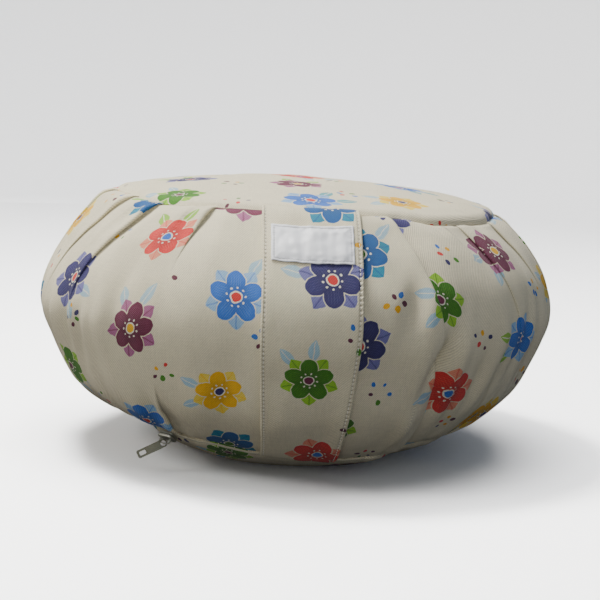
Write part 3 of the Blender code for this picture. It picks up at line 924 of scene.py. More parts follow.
@dataclass
class CarryingBand:
    """The doubled strip sewn into both seams at the front, topstitched along both edges."""

    form: CushionForm
    top_width: float = 61 * MM
    base_width: float = 49 * MM
    taper_end: float = 0.62
    thickness: float = 1.5 * MM
    clearance: float = 1.0 * MM
    columns: int = 78
    rows: int = 300
    stitch_inset: float = 2.1 * MM
    stitch_pitch: float = 2.9 * MM
    stitch_dip: float = 0.95 * MM
    proud_edge: float = 2.2 * MM

    def half_width(self, share: float) -> float:
        """Half the band's width at a share of the way up the side."""
        widening = smooth(share / self.taper_end)
        return (self.base_width + (self.top_width - self.base_width) * widening) / 2

    def azimuth(self, across: float, share: float) -> float:
        """The azimuth at a distance from the band's middle."""
        radius = self.form.on_outline(self.form.side_arc(0, share))[0]
        return math.degrees(across / radius) + 0.5 * (smooth(share * 1.3) - 0.5)

    def lift(self, across: float, share: float, side: float) -> float:
        """The band's lift over the plain outline.

        Args:
            across: metres from its middle.
            share: of the way up the side.
            side: the length of the side, in metres.

        Returns:
            The lift of its outer face.
        """
        form = self.form
        azimuth = self.azimuth(across, share)
        low, high = form.base_seam(azimuth), form.top_seam(azimuth)
        arc = low + (high - low) * share
        from_base, from_top = arc - low, high - arc
        near = min(from_base, from_top)
        lift = self.clearance + self.thickness
        lift += smooth(near / (22 * MM)) * form.unevenness(azimuth, arc) * 0.7
        lift += 0.35 * (form.seam_lift(from_top) + form.seam_lift(from_base))
        edge = self.half_width(share) - abs(across)
        lift -= 0.5 * MM * bell(edge, 0.7 * MM)
        beat = stitch_beat(share * side, self.stitch_pitch)
        lift -= self.stitch_dip * bell(edge - self.stitch_inset, 0.8 * MM) * (0.3 + 0.7 * beat)
        lift += 0.3 * MM * bell(edge - 1.1 * MM, 0.8 * MM) * (1 - beat)
        if across > 0:
            stands = 0.4 + 0.6 * smooth((0.5 - share) / 0.25)
            sewn_down = smooth(share / 0.09) * smooth((1 - share) / 0.1)
            outer = smooth((across / self.half_width(share) - 0.45) / 0.5)
            lift += self.proud_edge * stands * sewn_down * outer
        bulge = bell(across + 15 * MM, 9 * MM) * bell(share - 0.22, 0.1)
        hollow = bell(across - 10 * MM, 12 * MM) * bell(share - 0.17, 0.09)
        lift += 1.3 * MM * bulge - 1.0 * MM * hollow
        return lift + 0.25 * MM * noise.noise(Vector((across * 90, share * side * 70, 4.0)))

    def painted_shade(self, across: float, along: float) -> float:
        """Painted shade in the topstitching's needle holes and along its line on the band.

        Args:
            across: metres from its middle.
            along: metres up from the base seam.

        Returns:
            0 where no shade is painted, up to 1 in a needle hole.
        """
        inset = self.half_width(along / self.length) - abs(across) - self.stitch_inset
        hole = bell(inset, 0.62 * MM) * stitch_beat(along, self.stitch_pitch) ** 2.5
        return min(hole + 0.25 * bell(inset, 1.1 * MM), 1.0)

    def surface(self, across: float, share: float, over: float = 0.0) -> Vector:
        """A point on the band's outer face, or that far over it."""
        return self.at(across, share, self.lift(across, share, self.length) + over)

    def at(self, across: float, share: float, lift: float) -> Vector:
        """The point at a lift over the plain outline, at a place on the band."""
        azimuth = self.azimuth(across, share)
        return self.form.point(azimuth, self.form.side_arc(azimuth, share), lift)

    @property
    def length(self) -> float:
        """The length of the side under the band's middle."""
        return self.form.top_seam(0) - self.form.base_seam(0)

    @property
    def flat(self) -> tuple[float, float]:
        """The size of the strip that the band is cut from."""
        return self.top_width, self.length

    @property
    def area(self) -> float:
        """The band's flat area, less than its strip's because it tapers."""
        shares = [step / 40 for step in range(41)]
        widths = [2 * self.half_width(share) for share in shares]
        return sum(widths) / len(widths) * self.length

    def build(self) -> bpy.types.Object:
        """Lays the band over the front of the cushion."""
        spread = [share * 2 - 1 for share in graded(self.columns - 1, 0.55)]

        def place(column: int, row: int) -> tuple[Vector, float, float]:
            share = row / (self.rows - 1)
            across = spread[column] * self.half_width(share)
            return self.surface(across, share), across, share * self.length

        # painted shade at the topstitching's needle holes and line, for the material to darken
        def painted_shade(column: int, row: int) -> float:
            share = row / (self.rows - 1)
            return self.painted_shade(spread[column] * self.half_width(share), share * self.length)

        name = "carrying_band_cloth"
        band = laid_cloth(name, self.columns, self.rows, place, False, painted_shade)
        thicken(band, self.thickness)
        return band

    def stitch_rows(self) -> list[list[Vector]]:
        """The ends of each stitch along both edges."""
        paths = []
        count = int(self.length / self.stitch_pitch)
        for side in (-1, 1):
            for step in range(1, count):
                start = (step + 0.14) * self.stitch_pitch / self.length
                end = (step + 0.86) * self.stitch_pitch / self.length
                ends = []
                for share in (start, end):
                    across = side * (self.half_width(share) - self.stitch_inset)
                    ends.append(self.surface(across, share, 0.22 * MM))
                paths.append(ends)
        return paths


@dataclass
class SewnLabel:
    """The small white woven label on the band, bare, stitched round its border."""

    band: CarryingBand
    width: float = 50 * MM
    height: float = 28 * MM
    below_seam: float = 18 * MM
    thickness: float = 0.8 * MM
    lean: float = 0.6 * MM
    columns: int = 110
    rows: int = 64
    stitch_inset: float = 1.8 * MM
    stitch_pitch: float = 2.1 * MM
    pucker: float = 1.3 * MM

    def painted_shade(self, across: float, up: float) -> float:
        """Painted shade in the border stitching's needle holes and along its line on the label.

        Args:
            across: metres from its middle, towards +X.
            up: metres from its middle, up the side.

        Returns:
            0 where no shade is painted, up to 1 in a needle hole.
        """
        from_side, from_end = self.width / 2 - abs(across), self.height / 2 - abs(up)
        inset = min(from_side, from_end) - self.stitch_inset
        beat = stitch_beat(across if from_side > from_end else up, self.stitch_pitch)
        return bell(inset, 0.5 * MM) * (0.25 + 0.75 * beat)

    def surface(self, across: float, up: float, over: float = 0.0) -> Vector:
        """A point on the label's outer face.

        Args:
            across: metres from its middle, towards +X.
            up: metres from its middle, up the side.
            over: metres over its face.

        Returns:
            The point in the row's frame.
        """
        side = self.band.length
        middle = 1 - (self.below_seam + self.height / 2) / side
        share = middle + (up + self.lean * across / self.width) / side
        from_side, from_end = self.width / 2 - abs(across), self.height / 2 - abs(up)
        edge = min(from_side, from_end)
        inset = edge - self.stitch_inset
        waves = noise.noise(Vector((across * 95, up * 75, 3.3)))
        waves += 0.5 * noise.noise(Vector((across * 210, up * 150, 8.1)))
        lift = self.thickness + 0.25 * MM + self.pucker * (0.5 + waves) * smooth(inset / (5 * MM))
        beat = stitch_beat(across if from_side > from_end else up, self.stitch_pitch)
        lift -= 0.2 * MM * bell(inset, 0.6 * MM) * (0.5 + 0.5 * beat)
        lift -= 0.25 * MM * bell(edge, 0.4 * MM)
        frayed = noise.noise(Vector((across * 400, up * 400, 1.0)))
        lift += 0.2 * MM * frayed * math.exp(-edge / MM)
        gathers = noise.noise(Vector((across * 260, up * 260, 17.0)))
        lift += 0.5 * MM * gathers * bell(inset, 3 * MM)
        return self.band.at(across, share, self.band.lift(across, share, side) + lift + over)

    def build(self) -> bpy.types.Object:
        """Lays the label over the band."""

        def place(column: int, row: int) -> tuple[Vector, float, float]:
            across = (column / (self.columns - 1) - 0.5) * self.width
            up = (row / (self.rows - 1) - 0.5) * self.height
            ragged = 0.25 * MM * noise.noise(Vector((up * 260, 0.0, math.copysign(9, across))))
            wave = 0.3 * MM * noise.noise(Vector((across * 150, 5.0, math.copysign(6, up))))
            reach_x = abs(across) / (self.width / 2)
            reach_y = abs(up) / (self.height / 2)
            point = self.surface(across + ragged * reach_x, up + wave * reach_y)
            return point, across, up

        # painted shade at the border stitching's needle holes and line, for the material to darken
        def painted_shade(column: int, row: int) -> float:
            across = (column / (self.columns - 1) - 0.5) * self.width
            return self.painted_shade(across, (row / (self.rows - 1) - 0.5) * self.height)

        name = "sewn_label_cloth"
        label = laid_cloth(name, self.columns, self.rows, place, False, painted_shade)
        thicken(label, self.thickness)
        return label

    def stitch_rows(self) -> list[list[Vector]]:
        """The ends of each stitch round the label's border."""
        reach_x = self.width / 2 - self.stitch_inset
        reach_y = self.height / 2 - self.stitch_inset
        turns = ((-1, -1), (1, -1), (1, 1), (-1, 1))
        corners = [Vector((x * reach_x, y * reach_y)) for x, y in turns]
        paths = []
        for start, end in zip(corners, corners[1:] + corners[:1]):
            count = round((end - start).length / self.stitch_pitch)
            for step in range(count):
                ends = []
                for part in (0.16, 0.84):
                    spot = start.lerp(end, (step + part) / count)
                    ends.append(self.surface(spot.x, spot.y, 0.06 * MM))
                paths.append(ends)
        return paths


@dataclass
class Topstitching:
    """Rows of single stitches, each a short thread sunk into the cloth at both ends."""

    name: str
    radius: float
    rows: list[list[Vector]]

    def build(self) -> bpy.types.Object:
        """Makes every stitch as one joined mesh."""
        builder = bmesh.new()
        for start, end in self.rows:
            run = end - start
            add_pod(builder, (start + end) / 2, run, (self.radius, self.radius, run.length / 2))
        return as_object(self.name, builder)


# ------------------------------------------------------------------------------------ zip


@dataclass
class ZipFastener:
    """The zip in the base seam: its tape, its coil, the slider and the pull."""

    form: CushionForm
    start: float = -49.0
    end: float = 22.0
    end_room: float = 5.0
    chain_width: float = 3.0 * MM
    gap: float = 0.3 * MM
    proud: float = 0.4 * MM
    tooth_pitch: float = 1.35 * MM
    tooth: tuple[float, float] = (0.42 * MM, 0.5 * MM)
    tooth_depth: float = -0.25 * MM
    tape_grid: tuple[int, int] = (180, 6)
    rounding: float = 0.26
    slider_azimuth: float = -40.5
    plate: Triple = (12.5 * MM, 9.2 * MM, 3.6 * MM)
    waist: float = 0.7
    bridge: Triple = (8.6 * MM, 1.9 * MM, 3.9 * MM)
    bridge_bar: float = 0.8 * MM
    pull_length: float = 21 * MM
    pull_width: float = 5.4 * MM
    pull_thickness: float = 1.1 * MM
    eye_radius: float = 1.85 * MM
    slot: tuple[float, float] = (4.4 * MM, 2.8 * MM)
    slot_rim: float = 1.5 * MM

    def middle_arc(self, azimuth: float) -> float:
        """The arc of the coil's middle, just under the base seam."""
        return self.form.base_seam(azimuth) - self.gap - self.chain_width / 2

    def build_tape(self) -> bpy.types.Object:
        """Lays the tape in the channel between the side strip and the base panel."""
        form = self.form
        columns, rows = self.tape_grid

        def place(column: int, row: int) -> tuple[Vector, float, float]:
            along = column / (columns - 1)
            azimuth = self.start + self.end_room + (self.end - self.start - self.end_room) * along
            across = (row / (rows - 1) - 0.5) * (self.chain_width - 0.2 * MM)
            lift = -0.9 * MM + 0.12 * MM * noise.noise(Vector((azimuth * 2, across * 900, 1)))
            point = form.point(azimuth, self.middle_arc(azimuth) + across, lift)
            return point, math.radians(azimuth) * form.marks["base seam"], across

        tape = laid_cloth("zip_tape", columns, rows, place, False)
        thicken(tape, 0.7 * MM)
        return tape

    def build_coil(self) -> bpy.types.Object:
        """Makes the coil's teeth, two rows leaning towards each other."""
        form = self.form
        builder = bmesh.new()
        azimuth = self.start + self.end_room
        number = 0
        while azimuth < self.end:
            middle = self.middle_arc(azimuth)
            centre = form.point(azimuth, middle, self.tooth_depth)
            ahead = form.point(azimuth + 0.3, middle, self.tooth_depth)
            up_side = form.point(azimuth, middle + MM, self.tooth_depth) - centre
            run = (ahead - centre).normalized()
            lean = (up_side.normalized() + run * (0.35 if number % 2 else -0.35)).normalized()
            side = up_side.normalized() * (0.25 if number % 2 else -0.25) * MM
            add_pod(builder, centre + side, lean, (*self.tooth, self.chain_width * 0.36))
            azimuth += math.degrees(self.tooth_pitch / 2 / form.on_outline(middle)[0])
            number += 1
        return as_object("zip_coil", builder)

    def slider_frame(self) -> Matrix:
        """The slider's axes: x away from the band, y up the side, z outwards."""
        form, azimuth = self.form, self.slider_azimuth
        middle = self.middle_arc(azimuth)
        origin = form.point(azimuth, middle, self.proud)
        along = form.point(azimuth - 2, middle) - form.point(azimuth + 2, middle)
        along.normalize()
        up_side = form.point(azimuth, middle + 2 * MM) - form.point(azimuth, middle - 2 * MM)
        outward = along.cross(up_side).normalized()
        if outward.z > 0:
            outward = -outward
        up_side = outward.cross(along)
        axes = Matrix((along, up_side, outward)).transposed().to_4x4()
        return Matrix.Translation(origin) @ axes

    def build_slider(self) -> bpy.types.Object:
        """Makes the slider's two plates, their joining diamond and the bridge."""
        length, width, thickness = self.plate
        builder = bmesh.new()
        for low, high, shrink in ((0.0, 1.1 * MM, 0.94), (1.6 * MM, thickness, 1.0)):
            self.add_plate(builder, (length, width * shrink), low, high)
        self.add_plate(builder, (length * 0.42, width * 0.45), MM, 1.7 * MM)
        self.add_bridge(builder, thickness - 0.35 * MM)
        builder.transform(self.slider_frame() @ Matrix.Translation((0, 0, self.gap)))
        return crisp(as_object("zip_slider_casting", builder))

    def add_plate(
        self, builder: bmesh.types.BMesh, size: tuple[float, float], low: float, high: float
    ) -> None:
        """Adds a rounded plate that narrows towards its closing end.

        Args:
            builder: the mesh that takes it.
            size: its length and width.
            low: the height of its under side.
            high: the height of its face.
        """
        plate = bmesh.new()
        sizes = Matrix.Diagonal((size[0], size[1], high - low, 1))
        middle = Matrix.Translation((0, 0, (low + high) / 2))
        bmesh.ops.create_cube(plate, size=1.0, matrix=middle @ sizes)
        for corner in plate.verts:
            if corner.co.x > 0:
                corner.co.y *= self.waist
        upright = [
            edge for edge in plate.edges
            if abs(edge.verts[0].co.z - edge.verts[1].co.z) > 1e-6
        ]
        ease_edges(plate, upright, min(size) * self.rounding, 5)
        flat = [edge for edge in plate.edges if edge.calc_face_angle(0) > 1.2]
        ease_edges(plate, flat, (high - low) * self.rounding, 3)
        add_mesh(builder, plate)

    def add_bridge(self, builder: bmesh.types.BMesh, foot: float) -> None:
        """Adds the bent bar that the pull hangs on.

        Args:
            builder: the mesh that takes it.
            foot: the height at which its two feet stand.
        """
        span, breadth, rise = self.bridge
        arch = bmesh.new()
        profile = Matrix.Translation((-span / 2, 0, 0)) @ Matrix.Diagonal(
            (self.bridge_bar / 2, breadth / 2, 1, 1)
        )
        bmesh.ops.create_circle(arch, cap_ends=True, segments=12, radius=1.0, matrix=profile)
        bmesh.ops.spin(
            arch, geom=arch.verts[:] + arch.edges[:] + arch.faces[:], cent=(0, 0, 0),
            axis=(0, 1, 0), angle=math.pi, steps=18, use_merge=False, use_normal_flip=False,
            use_duplicate=False,
        )
        for corner in arch.verts:
            squared = 1 - (1 - min(abs(corner.co.z) / (span / 2), 1)) ** 2.2
            corner.co.z = foot + squared * rise
        bmesh.ops.recalc_face_normals(arch, faces=arch.faces)
        add_mesh(builder, arch)

    def pull_frame(self) -> Matrix:
        """The pull's axes: x from its eye to its tip, y across it, z out of its face."""
        top = self.gap + self.plate[2] - 0.4 * MM + self.bridge[2]
        origin = self.slider_frame() @ Vector((0.4 * MM, 0, top))
        turn = math.radians(self.slider_azimuth)
        away = Vector((-math.cos(turn), -math.sin(turn), 0))
        outward = Vector((math.sin(turn), -math.cos(turn), 0))
        axes = Matrix((away, outward, Vector((0, 0, 1)))).transposed()
        along = (axes @ Vector((0.60, 0.66, -0.42))).normalized()
        facing = axes @ Vector((-0.45, 0.85, 0.22))
        across = facing.cross(along).normalized()
        facing = along.cross(across)
        return Matrix.Translation(origin) @ Matrix((along, across, facing)).transposed().to_4x4()

    def build_pull(self) -> bpy.types.Object:
        """Makes the pull: a flat tongue with a round eye and a square slot, edges eased."""
        builder = bmesh.new()
        half = self.pull_width / 2
        tip = self.pull_length - half
        corner = 1.3 * MM
        outline = bmesh.ops.create_circle(builder, cap_ends=False, segments=48, radius=half)
        for vertex in outline["verts"]:
            if vertex.co.x > 0.01 * MM:
                flat = vertex.co / half
                vertex.co.x = tip - corner + corner * flat.x
                vertex.co.y = math.copysign(half - corner, flat.y) + corner * flat.y
        bmesh.ops.create_circle(builder, cap_ends=False, segments=24, radius=self.eye_radius)
        slot_middle = tip - self.slot_rim - self.slot[0] / 2
        slot = bmesh.ops.create_circle(builder, cap_ends=False, segments=24, radius=1.0)["verts"]
        for vertex in slot:
            turn = math.atan2(vertex.co.y, vertex.co.x)
            x = math.copysign(abs(math.cos(turn)) ** 0.4, math.cos(turn))
            y = math.copysign(abs(math.sin(turn)) ** 0.4, math.sin(turn))
            vertex.co = Vector((slot_middle + x * self.slot[0] / 2, y * self.slot[1] / 2, 0))
        bmesh.ops.triangle_fill(
            builder, edges=builder.edges[:], use_beauty=True, use_dissolve=False
        )
        faces = bmesh.ops.extrude_face_region(builder, geom=builder.faces[:])["geom"]
        raised = [part for part in faces if isinstance(part, bmesh.types.BMVert)]
        bmesh.ops.translate(builder, verts=raised, vec=(0, 0, self.pull_thickness))
        bmesh.ops.translate(builder, verts=builder.verts[:], vec=(0, 0, -self.pull_thickness / 2))
        bmesh.ops.recalc_face_normals(builder, faces=builder.faces)
        rims = [edge for edge in builder.edges if edge.calc_face_angle(0) > 1.2]
        ease_edges(builder, rims, 0.22 * MM, 3)
        builder.transform(self.pull_frame())
        return crisp(as_object("zip_pull_casting", builder))


def add_mesh(builder: bmesh.types.BMesh, part: bmesh.types.BMesh) -> None:
    """Adds one bmesh's shape to another and frees it."""
    shape = bpy.data.meshes.new("part")
    part.to_mesh(shape)
    part.free()
    builder.from_mesh(shape)
    bpy.data.meshes.remove(shape)


def crisp(piece: bpy.types.Object, angle: float = 40.0) -> bpy.types.Object:
    """Keeps a piece's edges over an angle crisp under smooth shading."""
    piece.data.set_sharp_from_angle(angle=math.radians(angle))
    return piece


def ease_edges(
    part: bmesh.types.BMesh, edges: list[bmesh.types.BMEdge], offset: float, segments: int
) -> None:
    """Rounds edges over.

    Args:
        part: the shape.
        edges: its edges to round.
        offset: how far the rounding reaches, in metres.
        segments: how many faces it has.
    """
    bmesh.ops.bevel(
        part, geom=edges, offset=offset, segments=segments, profile=0.5, affect="EDGES",
        material=-1,
    )


def add_pod(
    builder: bmesh.types.BMesh, middle: Vector, along: Vector, radii: Triple
) -> None:
    """Adds a small rounded pod, such as one stitch or one zip tooth.

    Args:
        builder: the mesh that takes it.
        middle: its middle.
        along: the direction of its third axis.
        radii: its three half sizes.
    """
    facing = along.to_track_quat("Z", "Y").to_matrix().to_4x4()
    bmesh.ops.create_uvsphere(
        builder, u_segments=8, v_segments=6, radius=1.0,
        matrix=Matrix.Translation(middle) @ facing @ Matrix.Diagonal((*radii, 1)),
    )


# --------------------------------------------------------------------------------- studio


class Lamp(NamedTuple):
    """A square soft light: where it hangs and points, its size, power and colour."""

    name: str
    place: Triple
    target: Triple
    size: float
    power: float
    colour: Triple
    floor_only: bool = False


LAMPS = (
    Lamp("overhead", (-0.5, 0.12, 1.55), (0, 0, 0.1), 0.36, 38, (1.0, 0.985, 0.955)),
    Lamp("front_fill", (-0.2, -1.7, 0.24), (0, 0, 0.08), 0.9, 5.2, (0.975, 0.985, 1.0)),
    Lamp("side_light", (-1.22, -0.44, 0.95), (0, 0, 0.08), 0.5, 9.5, (1.0, 0.98, 0.93)),
    Lamp("floor_wash", (0, 0, 5.0), (0, 0, 0), 4.0, 700, (1.0, 1.0, 1.0), True),
)


@dataclass
class Studio:
    """The pale floor, the soft lights and the camera of the photograph."""

    camera_distance: float = 1.0629
    camera_height: float = 0.240
    camera_azimuth: float = -3.3
    heading: float = 3.512
    pitch: float = 7.397
    roll: float = 2.074
    lens: float = 90.0
    floor_radius: float = 2.4
    sweep_radius: float = 1.5
    sweep_steps: int = 14
    floor_drop: float = 0.4 * MM
    underlay_drop: float = 0.8 * MM
    floor_grey: Tint = (0.86, 0.86, 0.86, 1)
    underlay: Tint = (0.042, 0.042, 0.046, 1)
    dim: Tint = (0.08, 0.085, 0.10, 1)
    warm: Tint = (0.43, 0.415, 0.385, 1)
    cool: Tint = (0.305, 0.345, 0.415, 1)

    def build(self) -> None:
        """Sets up the studio."""
        self.hang_lights(self.lay_floor())
        self.set_surround()
        self.stand_camera()

    def stand_camera(self) -> None:
        """Places the camera where the photograph was taken from."""
        data = bpy.data.cameras.new("camera")
        data.lens = self.lens
        data.sensor_width = 36.0
        data.clip_start, data.clip_end = 0.01, 50.0
        data.dof.use_dof = False
        camera = bpy.data.objects.new("camera", data)
        bpy.context.scene.collection.objects.link(camera)
        bpy.context.scene.camera = camera
        heading, pitch, roll = (math.radians(x) for x in (self.heading, self.pitch, self.roll))
        level = math.cos(pitch)
        forward = Vector((math.sin(heading) * level, math.cos(heading) * level, -math.sin(pitch)))
        right = Vector((math.cos(heading), -math.sin(heading), 0))
        up = right.cross(forward)
        rolled_right = right * math.cos(roll) + up * math.sin(roll)
        rolled_up = up * math.cos(roll) - right * math.sin(roll)
        turn = math.radians(self.camera_azimuth)
        place = Vector((math.sin(turn), -math.cos(turn), 0)) * self.camera_distance
        place.z = self.camera_height
        axes = Matrix((rolled_right, rolled_up, -forward)).transposed().to_4x4()
        camera.matrix_world = Matrix.Translation(place) @ axes

    def lay_floor(self) -> bpy.types.Object:
        """A plain pale floor that curves up into a plain pale wall all round."""
        builder = bmesh.new()
        rim = Matrix.Translation((0, 0, -self.floor_drop))
        bmesh.ops.create_circle(
            builder, cap_ends=True, segments=96, radius=self.floor_radius, matrix=rim
        )
        edges = [edge for edge in builder.edges if edge.is_boundary]
        for number in range(self.sweep_steps + 1):
            grown = bmesh.ops.extrude_edge_only(builder, edges=edges)["geom"]
            corners = [part for part in grown if isinstance(part, bmesh.types.BMVert)]
            edges = [part for part in grown if isinstance(part, bmesh.types.BMEdge)]
            turn = math.pi / 2 * min(number / self.sweep_steps, 1.0)
            out = self.floor_radius + self.sweep_radius * math.sin(turn)
            for corner in corners:
                flat = Vector((corner.co.x, corner.co.y)).normalized() * out
                height = self.sweep_radius * (1 - math.cos(turn))
                corner.co = Vector((flat.x, flat.y, height - self.floor_drop))
        bmesh.ops.recalc_face_normals(builder, faces=builder.faces)
        bmesh.ops.reverse_faces(builder, faces=builder.faces)
        floor = as_object("floor", builder)
        floor.data.materials.append(plain_look("pale_floor", self.floor_grey))
        floor.visible_diffuse = False
        floor.visible_glossy = False
        floor.visible_shadow = False
        self.lay_bounce()
        return floor

    def lay_bounce(self) -> None:
        """A darker sheet under the floor that alone throws light back up, and takes shadows."""
        builder = bmesh.new()
        under = Matrix.Translation((0, 0, -self.underlay_drop))
        bmesh.ops.create_circle(
            builder, cap_ends=True, segments=64, radius=self.floor_radius, matrix=under
        )
        sheet = as_object("floor_underlay", builder)
        sheet.data.materials.append(plain_look("grey_underlay", self.underlay))
        sheet.visible_camera = False

    @staticmethod
    def hang_lights(floor: bpy.types.Object) -> None:
        """Hangs the lamps.

        Args:
            floor: the floor, which its own lamp alone lights.
        """
        for lamp in LAMPS:
            data = bpy.data.lights.new(lamp.name, "AREA")
            data.size, data.energy, data.color = lamp.size, lamp.power, lamp.colour
            hung = bpy.data.objects.new(lamp.name, data)
            hung.location = lamp.place
            aim = Vector(lamp.target) - Vector(lamp.place)
            hung.rotation_euler = aim.to_track_quat("-Z", "Y").to_euler()
            bpy.context.scene.collection.objects.link(hung)
            if lamp.floor_only:
                washed = bpy.data.collections.new("washed_floor")
                washed.objects.link(floor)
                hung.light_linking.receiver_collection = washed

    def set_surround(self) -> None:
        """A soft surround, light overhead and dim towards the ground."""
        world = bpy.data.worlds.new("soft_surround")
        world.use_nodes = True
        wires = Wiring(world.node_tree)
        across, _, height = wires.split(wires.add("ShaderNodeTexCoord").outputs["Generated"])
        above = wires.mix(wires.step(across, -0.9, 0.9), self.warm, self.cool)
        share = wires.step(height, -0.03, 0.12)
        backdrop = world.node_tree.nodes["Background"]
        wires.feed(backdrop.inputs["Color"], wires.mix(share, self.dim, above))
        backdrop.inputs["Strength"].default_value = 1.0
        bpy.context.scene.world = world


# ------------------------------------------------------------------------------- finishes

Socket = bpy.types.NodeSocket
Value = float | Socket


def ink(red: float, green: float, blue: float) -> Tint:
    """A dye's colour in linear light, from its 0 to 255 values."""
    parts = [part / 255 for part in (red, green, blue)]
    linear = [part / 12.92 if part < 0.04 else ((part + 0.055) / 1.055) ** 2.4 for part in parts]
    return linear[0], linear[1], linear[2], 1.0


class Wiring:
    """Adds nodes to a tree and joins them up."""

    def __init__(self, tree: bpy.types.NodeTree) -> None:
        """Takes the tree to work on."""
        self.tree = tree

    def add(self, kind: str, **settings: object) -> bpy.types.Node:
        """Adds a node and sets its options."""
        node = self.tree.nodes.new(kind)
        for name, value in settings.items():
            setattr(node, name, value)
        return node

    def feed(self, socket: Socket, value: object) -> None:
        """Links a socket, or sets it where the value is plain."""
        if isinstance(value, bpy.types.NodeSocket):
            self.tree.links.new(value, socket)
        elif value is not None:
            socket.default_value = value

    def math(self, operation: str, *values: Value, clamp: bool = False) -> Socket:
        """A Math node's result."""
        node = self.add("ShaderNodeMath", operation=operation, use_clamp=clamp)
        for socket, value in zip(node.inputs, values):
            self.feed(socket, value)
        return node.outputs[0]

    def times(self, first: Value, second: Value) -> Socket:
        """A product."""
        return self.math("MULTIPLY", first, second)

    def plus(self, first: Value, second: Value) -> Socket:
        """A sum."""
        return self.math("ADD", first, second)

    def minus(self, first: Value, second: Value) -> Socket:
        """A difference."""
        return self.math("SUBTRACT", first, second)

    def over(self, first: Value, second: Value) -> Socket:
        """A quotient."""
        return self.math("DIVIDE", first, second)

    def gain(self, value: Value, factor: Value, offset: Value) -> Socket:
        """A value times a factor, plus an offset."""
        return self.math("MULTIPLY_ADD", value, factor, offset)

    def vector(self, operation: str, *values: object) -> Socket:
        """A Vector Math node's vector."""
        node = self.add("ShaderNodeVectorMath", operation=operation)
        for socket, value in zip(node.inputs, values):
            self.feed(socket, value)
        return node.outputs["Vector"]

    def scaled(self, vector: Socket, scale: Value) -> Socket:
        """A vector times a number."""
        node = self.add("ShaderNodeVectorMath", operation="SCALE")
        self.feed(node.inputs[0], vector)
        self.feed(node.inputs["Scale"], scale)
        return node.outputs["Vector"]

    def split(self, vector: Socket) -> tuple[Socket, Socket, Socket]:
        """A vector's three parts."""
        node = self.add("ShaderNodeSeparateXYZ")
        self.feed(node.inputs[0], vector)
        return node.outputs[0], node.outputs[1], node.outputs[2]

    def joined(self, x: Value, y: Value, z: Value = 0.0) -> Socket:
        """A vector from its three parts."""
        node = self.add("ShaderNodeCombineXYZ")
        for socket, value in zip(node.inputs, (x, y, z)):
            self.feed(socket, value)
        return node.outputs[0]

    def turned(self, x: Socket, y: Socket, angle: Value) -> tuple[Socket, Socket]:
        """Two coordinates turned by an angle in radians."""
        east, north = self.math("COSINE", angle), self.math("SINE", angle)
        across = self.plus(self.times(x, east), self.times(y, north))
        up = self.minus(self.times(y, east), self.times(x, north))
        return across, up

    def step(self, value: Value, low: float, high: float) -> Socket:
        """0 below low, 1 above high, and smooth between them."""
        node = self.add("ShaderNodeMapRange", interpolation_type="SMOOTHSTEP")
        for socket, given in zip(node.inputs, (value, low, high, 0.0, 1.0)):
            self.feed(socket, given)
        return node.outputs[0]

    def spread(self, value: Value, low: float, high: float) -> Socket:
        """A value from 0 to 1 spread between low and high."""
        return self.gain(value, high - low, low)

    def mix(self, share: Value, first: object, second: object, blend: str = "MIX") -> Socket:
        """Two colours mixed by a share."""
        node = self.add("ShaderNodeMix", data_type="RGBA", blend_type=blend)
        for index, value in ((0, share), (6, first), (7, second)):
            self.feed(node.inputs[index], value)
        return node.outputs[2]

    def noise(
        self, place: Socket, scale: float, detail: float, rough: float, output: str = "Fac"
    ) -> Socket:
        """A Noise Texture's output over a place.

        Args:
            place: the place.
            scale: how many features there are to a unit.
            detail: how many finer layers it has.
            rough: how strong they are.
            output: which output is wanted.

        Returns:
            That output.
        """
        node = self.add("ShaderNodeTexNoise", noise_dimensions="3D")
        self.feed(node.inputs["Vector"], place)
        self.feed(node.inputs["Scale"], scale)
        self.feed(node.inputs["Detail"], detail)
        self.feed(node.inputs["Roughness"], rough)
        return node.outputs[output]

    def streaks(self, place: Socket, stretch: Triple, detail: float) -> Socket:
        """Noise drawn out along the axes, from 0 to 1."""
        return self.noise(self.vector("MULTIPLY", place, stretch), 1.0, detail, 0.7)

    def adrift(
        self, place: Socket, scale: float, detail: float, rough: float, far: float
    ) -> Socket:
        """A place shifted unevenly, by up to about half of far."""
        wobble = self.noise(place, scale, detail, rough, "Color")
        drift = self.scaled(self.vector("SUBTRACT", wobble, (0.5, 0.5, 0.5)), far)
        return self.vector("ADD", place, drift)

    def millimetres(self, place: Socket) -> Socket:
        """A place in metres, in millimetres."""
        return self.scaled(place, 1 / MM)

    def random(self, place: Socket) -> tuple[Socket, Socket, Socket]:
        """Three random values that belong to a place."""
        node = self.add("ShaderNodeTexWhiteNoise", noise_dimensions="3D")
        self.feed(node.inputs["Vector"], place)
        return self.split(node.outputs["Color"])

    def choice(self, number: Socket, dyes: Sequence[Sequence[float]]) -> Socket:
        """One of several dyes, by a number from 0 to 1."""
        node = self.add("ShaderNodeValToRGB")
        ramp = node.color_ramp
        ramp.interpolation = "CONSTANT"
        while len(ramp.elements) < len(dyes):
            ramp.elements.new(0.5)
        for index, dye in enumerate(dyes):
            ramp.elements[index].position = index / len(dyes)
            ramp.elements[index].color = dye
        self.feed(node.inputs[0], number)
        return node.outputs[0]

    def group(self, tree: bpy.types.NodeTree, **values: object) -> bpy.types.Node:
        """Adds a node group and feeds its inputs."""
        node = self.add("ShaderNodeGroup", node_tree=tree)
        for name, value in values.items():
            self.feed(node.inputs[name.replace("_", " ")], value)
        return node

    def sewn(self, depth: float) -> Socket:
        """A tone darkened by up to depth where painted shade lies: in pleats' creases, needle
        holes and along stitch lines.
        """
        painted_shade = self.add("ShaderNodeAttribute", attribute_name="painted_shade").outputs["Fac"]
        return self.gain(painted_shade, -depth, 1.0)

